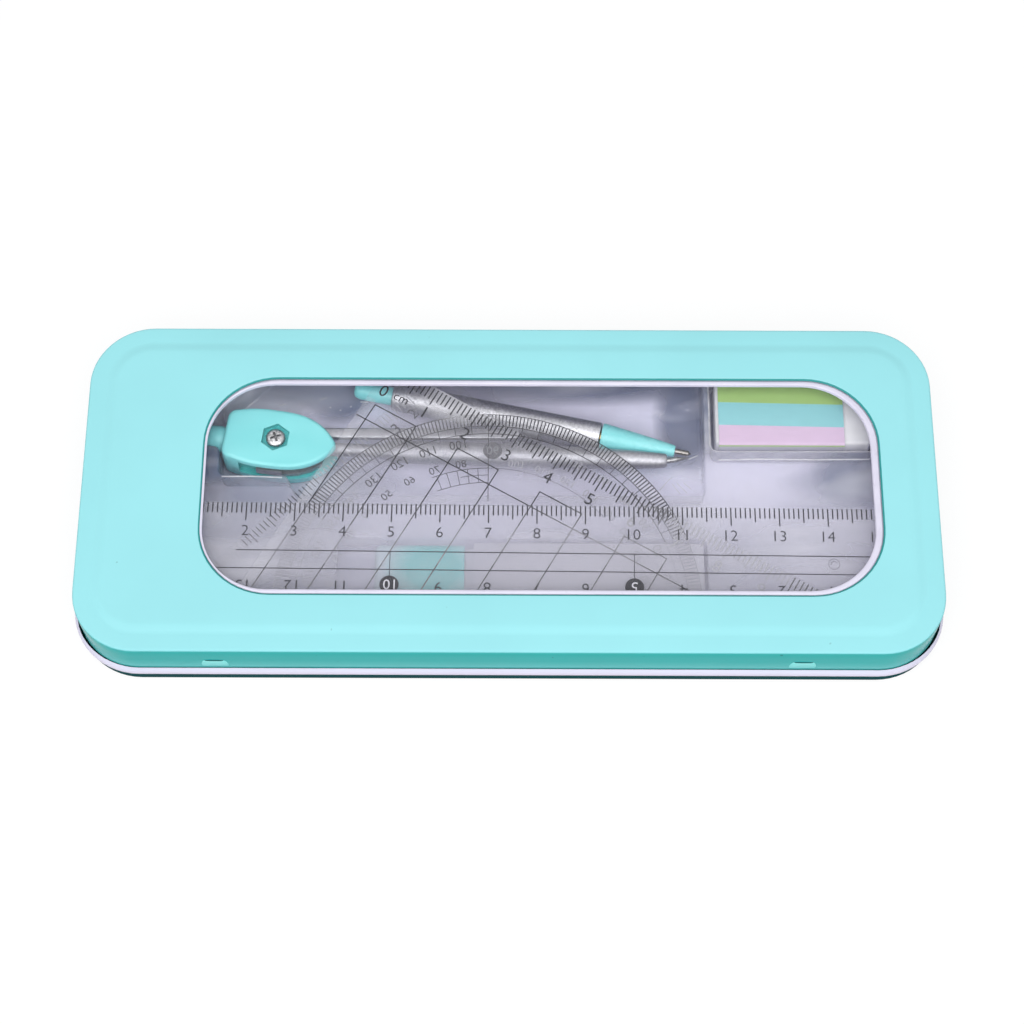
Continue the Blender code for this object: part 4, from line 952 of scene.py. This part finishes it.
plug(card_tree, card_shader, {
    "Base Color": blended(card_tree, "MULTIPLY", 1.0, card_wrap, card_fibre),
    "Roughness": wander(card_tree, grain(card_tree, 700.0), 0.4, 0.55),
    "Normal": bumped(card_tree, grain(card_tree, 1500.0), 0.08, 0.02),
})
card_edge = moulded("card_edge", (0.72, 0.71, 0.72), (0.82, 0.81, 0.82), (0.6, 0.8), 900.0)
card_left = card_low.x + 0.9
card_thick = 0.4
card_spots = [(card_left, 0.0), (card_high.x, 0.0), (card_high.x, card_thick), (card_left, card_thick)]
card_rows = lying_rows(card_low, card_high, card_spots, 0.7, 5)
card_slots = [slot for slot in (0, 1, 1, 1) for side in card_rows[0]]
add_piece("card_sleeve", skin(card_rows, True), [card_print, card_edge],
          "eraser_sleeve", "eraser_sleeve", slots=card_slots)


# Lead case: a small clear box for spare leads with a mint cap pushed on its neck. It lies under the
# plates, where only the mint of the cap shows through.
cap_low, cap_high = millimetres("lead_case_cap")
cap_mint, cap_tree, cap_shader = new_finish("cap_mint")
plug(cap_tree, cap_shader, {
    "Base Color": ramp(cap_tree, round_patch(cap_tree, -15.8, -16.4, 10.5, 8.5), [
        (0.0, (0.62, 0.74, 0.84)), (0.22, (0.38, 0.72, 0.77)), (0.5, (0.11, 0.62, 0.63)),
    ]),
    "Roughness": wander(cap_tree, grain(cap_tree, 500.0), 0.3, 0.45),
})
cap_spots = []
for x, inset in ((0.0, 1.4), (0.12, 0.8), (0.5, 0.3), (1.2, 0.0), (18.6, 0.0), (18.6, 0.75), (10.0, 0.75)):
    cap_spots.append((min(cap_low.x + x, cap_high.x), inset))
cap_shape = capped(lying_rows(cap_low, cap_high, cap_spots, 1.6, 6))
add_piece("lead_cap", cap_shape, [cap_mint], "lead_case_cap", "lead_case_cap")
lead_frosted = clear_sheet("lead_case_frosted", (0.97, 0.97, 0.975), (0.78, 0.86), (0.68, 0.67, 0.78),
                           1.3, 0.3)
dress("lead_case_body", lead_frosted)
for count in (1, 2, 3):
    dress("spare_lead_%d" % count, graphite)


# Protractor: a clear plate of acrylic, printed in dark ink and lying with its back up, so that its
# numbers read in mirror writing. It lies on the tray, under the two squares.
def towards(degrees):
    """A flat step of length one, so many degrees from the x axis."""
    return Vector((math.cos(math.radians(degrees)), math.sin(math.radians(degrees))))


def add_plate(name, outline, node, material, chamfer=0.12):
    """A flat plate with small chamfers, as thick as its solid; gives back the height of its top."""
    low, high = millimetres(node)
    inner = moved_out(outline, -chamfer)
    rows = [level(inner, low.z), level(outline, low.z + chamfer)]
    rows += [level(outline, high.z - chamfer), level(inner, high.z)]
    add_piece(name, capped(rows), [material], "case_base", node, edge=30)
    return high.z


def bar(start, end, width):
    """A printed line on the flat, as one thin strip."""
    start = Vector(start)
    end = Vector(end)
    way = (end - start).normalized()
    side = Vector((-way.y, way.x)) * width / 2
    return [start + side, start - side, end - side, end + side], [(0, 1, 2, 3)]


def arc(middle, radius, first, last, width, steps):
    """A printed arc on the flat."""
    points = []
    for angle in sweep(first, last, steps):
        way = Vector((math.cos(angle), math.sin(angle)))
        points += [Vector(middle) + way * (radius - width / 2), Vector(middle) + way * (radius + width / 2)]
    return points, [(2 * step, 2 * step + 1, 2 * step + 3, 2 * step + 2) for step in range(steps)]


def number(text, size, spot, turn=0.0, mirror=False, weight=0.0):
    """A printed number on the flat, centred on a spot and as high as its size."""
    writing = bpy.data.curves.new("number", "FONT")
    writing.body = text
    writing.resolution_u = 3
    writing.offset = weight
    holder = add_object("number", writing)
    bpy.context.view_layer.update()
    drawn = holder.evaluated_get(bpy.context.evaluated_depsgraph_get()).to_mesh()
    points = [Vector((vertex.co.x, vertex.co.y)) for vertex in drawn.vertices]
    faces = [tuple(face.vertices) for face in drawn.polygons]
    bpy.data.objects.remove(holder)
    left = min(point.x for point in points)
    right = max(point.x for point in points)
    low = min(point.y for point in points)
    high = max(point.y for point in points)
    centre = Vector(((left + right) / 2, (low + high) / 2))
    spin = Matrix.Rotation(math.radians(turn), 2)
    digit_high = 0.7
    spots = []
    for point in points:
        flat = (point - centre) * size / digit_high
        if mirror:
            flat.x = -flat.x
        spots.append(Vector(spot) + spin @ flat)
    return spots, faces


def ink(name, deep, pale):
    """Printing ink, a little uneven."""
    return moulded(name, deep, pale, (0.45, 0.6), 1800.0)


def add_print(name, marks, material, height, place=None):
    """Printed marks as one thin layer, level at a height or set by a place at a height over its plate."""
    points, faces = together(marks)
    if place:
        solid = [place(point, height) for point in points]
    else:
        solid = level(points, height)
    add_piece(name, (solid, faces), [material], "case_base")


print_lift = 0.015
disc_radius = 44.2
disc_middle = Vector((-4.5, -25.9))
disc_foot = millimetres("protractor")[0].y
acrylic_tint = (0.993, 0.993, 0.995)
acrylic_milk = (0.86, 0.85, 0.93)
disc_clear = clear_sheet("protractor_clear", acrylic_tint, (0.015, 0.03), acrylic_milk)
disc_outline = [Vector((disc_middle.x + disc_radius, disc_foot))]
for step in range(73):
    disc_outline.append(disc_middle + disc_radius * towards(2.5 * step))
disc_outline.append(Vector((disc_middle.x - disc_radius, disc_foot)))
disc_top = add_plate("protractor_plate", disc_outline, "protractor", disc_clear)
disc_ink = ink("protractor_ink", (0.01, 0.01, 0.018), (0.025, 0.025, 0.035))
disc_faint = ink("protractor_faint_ink", (0.36, 0.36, 0.41), (0.42, 0.42, 0.47))
disc_marks = []
faint_marks = []
clear_from = 22
clear_to = 150
five_foot = 39.6
tick_foot = 41.6
tick_head = 44.0


def spoke(degree, first, last, width):
    """A printed line that runs out from the middle of the protractor."""
    return bar(disc_middle + towards(degree) * first, disc_middle + towards(degree) * last, width)


for degree in range(0, 181):
    marks = disc_marks if clear_from < degree < clear_to else faint_marks
    marks.append(spoke(degree, tick_foot, tick_head, 0.23))
    if degree % 5 == 0:
        marks.append(spoke(degree, five_foot, tick_foot, 0.14))
for radius in (five_foot, 41.4, 44.1):
    disc_marks.append(arc(disc_middle, radius, clear_from, clear_to, 0.18, 64))
    faint_marks.append(arc(disc_middle, radius, 0, clear_from, 0.18, 12))
    faint_marks.append(arc(disc_middle, radius, clear_to, 180, 0.18, 16))
for degree in range(10, 180, 10):
    if degree != 90:
        way = towards(degree)
        marks = disc_marks if 90 < degree < 135 else faint_marks
        marks.append(number(str(degree), 1.9, disc_middle + way * 37.5, degree - 90, True))
        marks.append(number(str(180 - degree), 1.7, disc_middle + way * 33.0, degree - 90, True))
grid_inner = 28.3
grid_outer = 31.6
for radius, first, last, width, steps in ((grid_outer, 90, 112, 0.16, 24), (grid_inner, 90, 112, 0.16, 24),
                                          (30.0, 90, 101, 0.14, 12), (grid_outer, 40, 90, 0.1, 30)):
    disc_marks.append(arc(disc_middle, radius, first, last, width, steps))
for degree in range(90, 113, 4):
    disc_marks.append(spoke(degree, grid_inner, grid_outer, 0.14))
disc_marks.append(spoke(90, 24.0, 41.4, 0.16))
add_print("protractor_print", disc_marks, disc_ink, disc_top + print_lift)
add_print("protractor_faint_print", faint_marks, disc_faint, disc_top + print_lift)
# Painted highlight: a milky white band under the outer ticks stands for the light the plate catches there.
disc_painted_highlight = clear_sheet("protractor_painted_highlight", acrylic_tint, (0.09, 0.16), (0.95, 0.95, 1.0), 1.3, 0.1)
highlight_band_marks = [arc(disc_middle, 42.75, 20, clear_to, 2.7, 96)]
add_print("protractor_painted_highlight_band", highlight_band_marks, disc_painted_highlight, disc_top + 0.006)
spot_place = disc_middle + Vector((0.9, 35.7))
disc_spot = ink("protractor_spot", (0.08, 0.08, 0.10), (0.11, 0.11, 0.13))
add_print("protractor_spot_print", [arc(spot_place, 1.0, 0, 360, 2.0, 36)], disc_spot, disc_top + 0.008)
spot_pale = ink("protractor_spot_number", (0.20, 0.20, 0.23), (0.26, 0.26, 0.29))
add_print("protractor_spot_digits", [number("90", 1.9, spot_place, mirror=True)], spot_pale, disc_top + 0.03)


# Set squares: two clear acrylic plates with a right angle, one with 45 degree corners and one with 30
# and 60. Both carry a centimetre scale along a leg and lie between the protractor and the ruler.
square_haze = (0.02, 0.035)
square_round = 0.8
square_clear = clear_sheet("square_clear", acrylic_tint, square_haze, acrylic_milk)
corners_45 = [(-78.8, -34.0), (48.0, -34.0), (-15.4, 29.4)]
outline_45 = rounded(corners_45, square_round, 4)
top_45 = add_plate("square_45_plate", outline_45, "set_square_45", square_clear)
square_ink = ink("square_ink", (0.008, 0.008, 0.014), (0.02, 0.02, 0.03))
square_pale = ink("square_pale_ink", (0.34, 0.34, 0.38), (0.42, 0.42, 0.46))
square_grey = ink("square_grey_ink", (0.07, 0.07, 0.09), (0.10, 0.10, 0.12))
marks_45 = []
pale_45 = []
grey_45 = []


def on_square_45(down, across):
    """A spot on the 45 degree square, from its right angle down the left leg and across from it."""
    return Vector(corners_45[2]) + towards(-135) * down + towards(-45) * across


for tick in range(8, 80):
    reach = 2.6 if tick % 5 else 3.4
    marks = marks_45 if 36 < tick < 58 else pale_45
    marks.append(bar(on_square_45(tick, 0.6), on_square_45(tick, reach), 0.2))
for digit, spot in (("2", 11.8), ("3", 16.8)):
    grey_45.append(number(digit, 2.4, on_square_45(spot, 4.6), 45.0))
pale_45.append(bar(on_square_45(20.0, 30.0), on_square_45(20.0, 55.0), 0.12))
add_print("square_45_print", marks_45, square_ink, top_45 + print_lift)
add_print("square_45_pale_print", pale_45, square_pale, top_45 + print_lift)
add_print("square_45_grey_print", grey_45, square_grey, top_45 + print_lift)

corners_30 = [(-60.9, -31.7), (79.8, -31.7), (-25.73, 29.22)]
# Painted reflection: a milky patch near the square's top corner stands for the sheen of the film over the
# pencil barrel.
painted_corner_reflection = [(-9.0, 20.5, 11.0, 6.0, 0.3, (0.86, 0.86, 0.91))]
square_30_clear = clear_sheet("square_30_clear", acrylic_tint, square_haze, acrylic_milk, painted_patches=painted_corner_reflection)
outline_30 = rounded(corners_30, square_round, 4)
top_30 = add_plate("square_30_plate", outline_30, "set_square_30_60", square_30_clear)
marks_30 = []
pale_30 = []
covered_30 = []


def on_square_30(across, down):
    """A spot on the 30 and 60 degree square, from its right angle along the long leg and down from it."""
    return Vector(corners_30[2]) + towards(-30) * across + towards(-120) * down


for tick in range(0, 111):
    reach = 4.15 if tick % 5 == 0 else 3.1
    marks = pale_30 if 66 < tick < 95 else marks_30
    marks.append(bar(on_square_30(2.53 + tick, 0.4), on_square_30(2.53 + tick, reach), 0.29))
for centimetre in range(0, 12):
    marks = pale_30 if centimetre > 5 else marks_30
    marks.append(number(str(centimetre), 2.7, on_square_30(2.5 + 10 * centimetre, 6.25), -28.0))
marks_30.append(number("cm", 2.0, on_square_30(6.6, 6.2), -28.0))
covered_low = -17.1
covered_high = -8.6


def ruled(across, down, to_across, to_down):
    """A long line of the square; it is printed paler where the milky middle of the ruler covers it."""
    start = on_square_30(across, down)
    end = on_square_30(to_across, to_down)
    cuts = [0.0, 1.0]
    for y in (covered_high, covered_low):
        part = (start.y - y) / (start.y - end.y)
        if 0.0 < part < 1.0:
            cuts.append(part)
    cuts.sort()
    for one, two in zip(cuts, cuts[1:]):
        middle = start.lerp(end, (one + two) / 2)
        marks = covered_30 if covered_low < middle.y < covered_high else marks_30
        marks.append(bar(start.lerp(end, one), start.lerp(end, two), 0.25))


ruled(0.4, 13.9, 92.0, 13.9)
for left, right, foot in ((2.6, 12.7, 58.0), (22.85, 32.75, 52.0),
                          (42.75, 52.75, 40.0), (62.75, 72.75, 28.0)):
    ruled(left, 10.0, right, 10.0)
    ruled(left, 9.9, left, foot)
    ruled(right, 9.9, right, foot)
square_covered = ink("square_covered_ink", (0.12, 0.12, 0.14), (0.17, 0.17, 0.19))
# Painted highlight: a milky strip along the short leg stands for the light its bevel catches.
square_bevel_highlight = clear_sheet("square_bevel_highlight", acrylic_tint, (0.09, 0.15), (0.92, 0.92, 0.98), 1.3, 0.1)
bevel_highlight_band = [bar(on_square_30(1.25, 9.0), on_square_30(1.25, 68.0), 2.0)]
add_print("square_30_print", marks_30, square_ink, top_30 + print_lift)
add_print("square_30_pale_print", pale_30, square_pale, top_30 + print_lift)
add_print("square_30_covered_print", covered_30, square_covered, top_30 + print_lift)
add_print("square_30_bevel_highlight", bevel_highlight_band, square_bevel_highlight, top_30 + 0.01)


# Ruler: a clear acrylic strip with both long edges bevelled. A centimetre scale runs along each edge,
# the two in opposite directions, with two long lines between them. It lies on top of the plates.
ruler_low, ruler_high = millimetres("ruler")
ruler_clear = clear_sheet("ruler_clear", acrylic_tint, (0.07, 0.11), acrylic_milk)
ruler_half = 12.25
ruler_end = 80.0
bevel_wide = 4.5
bevel_edge = 0.5
ruler_turn = Matrix.Rotation(math.radians(-0.5), 2)
ruler_middle = Vector((0.0, -16.45))
ruler_thick = ruler_high.z - ruler_low.z


def on_ruler(point, lift):
    """A flat point of the ruler in its place, at a height over its flat middle or its sloping edges."""
    flat = ruler_middle + ruler_turn @ Vector(point)
    slope = min(1.0, (ruler_half - abs(point[1])) / bevel_wide)
    return Vector((flat.x, flat.y, ruler_low.z + bevel_edge + (ruler_thick - bevel_edge) * slope + lift))


ruler_chamfer = 0.1
half_section = [(ruler_half - ruler_chamfer, 0.0), (ruler_half, ruler_chamfer), (ruler_half, bevel_edge)]
half_section.append((ruler_half - bevel_wide, ruler_thick))
ruler_section = half_section + [(-y, z) for y, z in half_section[::-1]]
ruler_soft = 0.15
ruler_rows = []
for x, inset in ((-ruler_end, ruler_soft), (ruler_soft - ruler_end, 0.0),
                 (ruler_end - ruler_soft, 0.0), (ruler_end, ruler_soft)):
    row = []
    for y, z in ruler_section:
        flat = on_ruler((x, y * (1 - inset / ruler_half)), 0.0)
        height = min(max(z, inset * 0.5), ruler_thick - inset * 0.3)
        row.append(Vector((flat.x, flat.y, ruler_low.z + height)))
    ruler_rows.append(row)
add_piece("ruler_strip", capped(ruler_rows), [ruler_clear], "case_base", "ruler", edge=10)
ruler_ink = ink("ruler_ink", (0.015, 0.015, 0.025), (0.035, 0.035, 0.045))
scale_zero = -74.4
upper_line = ruler_half - 10.9
lower_line = ruler_half - 14.9
ruler_marks = []
for tick in range(0, 151):
    x = scale_zero + tick
    reach = 4.3 if tick % 10 == 0 else 3.4 if tick % 5 == 0 else 2.5
    ruler_marks.append(bar((x, ruler_half - 0.1), (x, ruler_half - reach), 0.27))
    ruler_marks.append(bar((x, 0.1 - ruler_half), (x, reach - ruler_half), 0.27))
ruler_spots = []
for centimetre in range(0, 16):
    x = scale_zero + 10 * centimetre
    ruler_marks.append(number(str(centimetre), 2.4, (x, ruler_half - 6.5), weight=-0.008))
    if centimetre not in (5, 10):
        ruler_marks.append(number(str(15 - centimetre), 2.4, (x, ruler_half - 18.7), 180.0, weight=-0.004))
    else:
        ruler_spots.append((x, ruler_half - 18.2))
        ruler_marks.append(bar((x, ruler_half - 16.4), (x, upper_line), 0.14))
ruler_marks.append(bar((-56.0, upper_line), (79.0, upper_line), 0.22))
ruler_marks.append(bar((-60.0, lower_line), (79.0, lower_line), 0.22))
ring_place = (66.4, ruler_half - 12.6)
ruler_marks += [arc(ring_place, 1.15, 0, 360, 0.1, 36), arc(ring_place, 0.6, 20, 200, 0.12, 16)]
add_print("ruler_print", ruler_marks, ruler_ink, print_lift, on_ruler)
spot_marks = [arc(spot, 0.975, 0, 360, 1.95, 36) for spot in ruler_spots]
add_print("ruler_spot_print", spot_marks, ruler_ink, print_lift, on_ruler)
white_ink = ink("spot_white_ink", (0.62, 0.61, 0.68), (0.72, 0.71, 0.78))
white_marks = [number("10", 2.2, ruler_spots[0], 180.0), number("5", 2.2, ruler_spots[1], 180.0)]
add_print("ruler_spot_numbers", white_marks, white_ink, print_lift + 0.01, on_ruler)


# Lid: pressed from thin sheet like the base, with a raised panel and a rounded window. The skirt ends
# in an outward roll that shows the white inside coat. Tabs at the back curl round the hinge pins.
lid_top = millimetres("lid_shell")[1].z
lid_half_x = 88.5
lid_half_y = 36.7
lid_corner = 13.2
lid_middle = pan_middle
lid_edge = 0.5
panel_rise = 0.4
shoulder = lid_top - panel_rise
roll_radius = 1.08
roll_level = pin_z + 1.1
# Painted shade: the skirt is a darker teal than the top and darkest just under the top edge; a lighter band
# near its foot is a painted reflection of the roll. The top keeps the lacquer's own mint.
lid_mint = lacquer("lid_mint", [
    (5.2, (0.05, 0.46, 0.45)), (6.2, (0.13, 0.55, 0.54)), (7.8, (0.06, 0.48, 0.465)),
    (9.4, (0.022, 0.43, 0.42)), (13.6, (0.015, 0.42, 0.405)), (14.15, (0.04, 0.46, 0.45)),
    (14.45, (0.30, 0.74, 0.79)), (14.6, (0.35, 0.785, 0.835)), (15.0, (0.35, 0.785, 0.835)),
])
lid_white = lacquer("lid_white", [(3.0, (0.72, 0.69, 0.83)), (15.0, (0.70, 0.68, 0.83))], (0.2, 0.34), 0.9)
lid_shade = lacquer("lid_shade", [
    (3.0, (0.005, 0.03, 0.03)), (14.0, (0.015, 0.16, 0.16)), (15.0, (0.05, 0.34, 0.34)),
])
window_middle = (6.6, -0.73)
window_half_x = 70.05
window_half_y = 24.37
window_corner = 14.9


def lid_row(inset, z):
    """One loop of the lid, so far inside its skirt and so high."""
    return ring_row(lid_half_x - inset, lid_half_y - inset, lid_corner - inset, z, lid_middle)


def window_row(outset, z):
    """One loop round the window, so far outside its edge and so high."""
    return ring_row(window_half_x + outset, window_half_y + outset, window_corner + outset, z, window_middle)


def front_corner(point):
    """How far the rolled edge stands off the skirt: most at the two front corners, nothing elsewhere."""
    corner_x = lid_half_x - lid_corner
    corner_y = lid_middle[1] - lid_half_y + lid_corner
    opens = 4.0
    closes = 68.0
    turn = math.degrees(math.atan2(corner_y - point.y, abs(point.x) - corner_x))
    if abs(point.x) < corner_x or turn < opens or turn > closes:
        return 0.0
    return min(1.0, (turn - opens) / 11.0) * min(1.0, (closes - turn) / 40.0)


def stood_off(tight, loose):
    """A loop that goes over from a tight one to a loose one at the front corners."""
    return [near.lerp(far, front_corner(near)) for near, far in zip(tight, loose)]


lid_rows = [window_row(0.6, lid_top - sheet), lid_row(7.6, lid_top - sheet), lid_row(3.4, shoulder - sheet)]
lid_rows += [lid_row(0.9, shoulder - 0.5), lid_row(0.5, shoulder - 0.9)]
lid_rows += [lid_row(sheet, shoulder - 1.4), lid_row(sheet, roll_level)]
for tight, loose in zip(sweep(248, 440, 16), sweep(248, 420, 16)):
    lid_rows.append(stood_off(
        lid_row(-roll_radius * math.cos(tight), roll_level + roll_radius * math.sin(tight)),
        lid_row(-roll_radius * math.cos(loose), roll_level + roll_radius * math.sin(loose)),
    ))
lid_white_bands = len(lid_rows) - 1
lid_rows.append(stood_off(lid_row(-0.15, roll_level + 0.8), lid_row(-0.4, roll_level + 0.6)))
lid_rows.append(stood_off(lid_row(-0.08, roll_level + 0.5), lid_row(-0.2, roll_level - 0.2)))
lid_rows.append(lid_row(-0.02, roll_level + 0.3))
lid_shade_bands = len(lid_rows)
lid_rows += [lid_row(0.0, roll_level + 0.6), lid_row(0.0, 8.0), lid_row(0.0, 11.0)]
for angle in sweep(0, 90, 5):
    lid_rows.append(lid_row(lid_edge * (1 - math.cos(angle)), shoulder - lid_edge * (1 - math.sin(angle))))
for step in range(0, 12):
    part = step / 11
    rise = lid_top - panel_rise * (1 - part * part * (3 - 2 * part))
    lid_rows.append(stood_off(lid_row(3.4 + 2.6 * part, rise), lid_row(4.0 + 1.7 * part, rise)))
lid_rows += [lid_row(6.4, lid_top), window_row(0.6, lid_top), window_row(0.35, lid_top - 0.03)]
lid_mint_bands = len(lid_rows)
for outset, depth in ((0.12, 0.12), (0.0, 0.27), (0.1, 0.38)):
    lid_rows.append(window_row(outset, lid_top - depth))
lid_slots = []
for band in range(len(lid_rows)):
    slot = 0
    if band < lid_white_bands:
        slot = 1
    elif band < lid_shade_bands or band >= lid_mint_bands - 1:
        slot = 2
    lid_slots += [slot] * len(lid_rows[0])
lid = add_piece("tin_lid", skin(lid_rows, True), [lid_mint, lid_white, lid_shade], slots=lid_slots, edge=30)
tab_from = tab_half + 0.4
tab_to = tab_half + 6.4
tab_top = pin_z + 2.8
lid_curl = curl(180, 440, ((pin_y - knuckle_out, tab_top), (pin_y - knuckle_in - 0.35, tab_top)))
notch_foot = 2.0
notch_back = 40.0
notches = []
lid_tabs = []
for spot in hinge_spots:
    notches.append(block((spot - tab_from, 34.0, notch_foot), (spot + tab_from, notch_back, 5.2)))
    notches.append(block((spot - tab_to - 0.3, 35.93, notch_foot), (spot + tab_to + 0.3, notch_back, 5.6)))
    lid_tabs.append(drawn_out(lid_curl, spot - tab_to, spot - tab_from))
    lid_tabs.append(drawn_out(lid_curl, spot + tab_from, spot + tab_to))
cut_away(lid, notches)
hang(lid, "lid", "lid_shell")
add_piece("lid_hinge_tabs", together(lid_tabs), [lid_mint], "lid", None)

# Painted light: the snap bumps are a lighter mint than the skirt around them, as they face up into the light;
# their slits are painted shade.
snap_mint = lacquer("snap_mint", [(6.0, (0.17, 0.68, 0.66)), (9.4, (0.27, 0.82, 0.80))])
snap_front = lid_middle[1] - lid_half_y - 0.006
snap_profile = [(6.0, 2.5, 0.0), (6.6, 2.7, 0.1), (7.6, 2.7, 0.15), (8.8, 2.4, 0.17), (9.4, 2.0, 0.17)]
snap_profile += [(9.45, 1.95, 0.06), (9.54, 1.9, 0.0)]
snap_columns = 14
for side, snap_spot in (("left", -59.6), ("right", 59.6)):
    snap_points = []
    for z, half, lift in snap_profile:
        for column in range(snap_columns + 1):
            x = 2 * column / snap_columns - 1
            swell = math.sqrt(max(0.0, 1.0 - x ** 4))
            snap_points.append(Vector((snap_spot + half * x, snap_front - lift * swell, z)))
    snap_faces = []
    snap_slots = []
    for row in range(len(snap_profile) - 1):
        for column in range(snap_columns):
            one = row * (snap_columns + 1) + column
            snap_faces.append((one, one + 1, one + snap_columns + 2, one + snap_columns + 1))
            snap_slots.append(0 if row < 4 else 1)
    add_piece("lid_snap_" + side, (snap_points, snap_faces), [snap_mint, lid_shade],
              "lid", None, slots=snap_slots, edge=50)


# Window ring and pane: a white ring is clipped under the edge of the opening and holds a thin clear
# sheet against its flange.
ring_foot = millimetres("window_bezel")[0].z
ring_half_x = 69.1
ring_half_y = 23.3
ring_corner = 13.9
ring_middle = (6.0, -0.74)
ring_white = moulded("ring_white", (0.68, 0.66, 0.80), (0.76, 0.74, 0.88), (0.25, 0.4), 200.0)
ring_rows = []
for outset, z in ((2.5, 0.0), (2.5, 0.4), (-0.1, 0.4), (-0.1, 0.62),
                  (-0.18, 0.78), (-0.32, 0.87), (-0.45, 0.9)):
    ring_rows.append(window_row(outset, ring_foot + z))
for out, rise in ((0.35, 0.9), (0.15, 0.86), (0.04, 0.76), (0.0, 0.6), (0.0, 0.0)):
    z = ring_foot + rise
    ring_rows.append(ring_row(ring_half_x + out, ring_half_y + out, ring_corner + out, z, ring_middle))
add_piece("window_ring", skin(ring_rows, True), [ring_white], "lid", "window_bezel")
pane_clear = clear_sheet("pane_clear", (0.99, 0.99, 0.99), (0.004, 0.012), (0.9, 0.9, 0.95), 1.2, 0.05,
                         (30.0, 0.15, 0.5))
dress("window_pane", pane_clear)
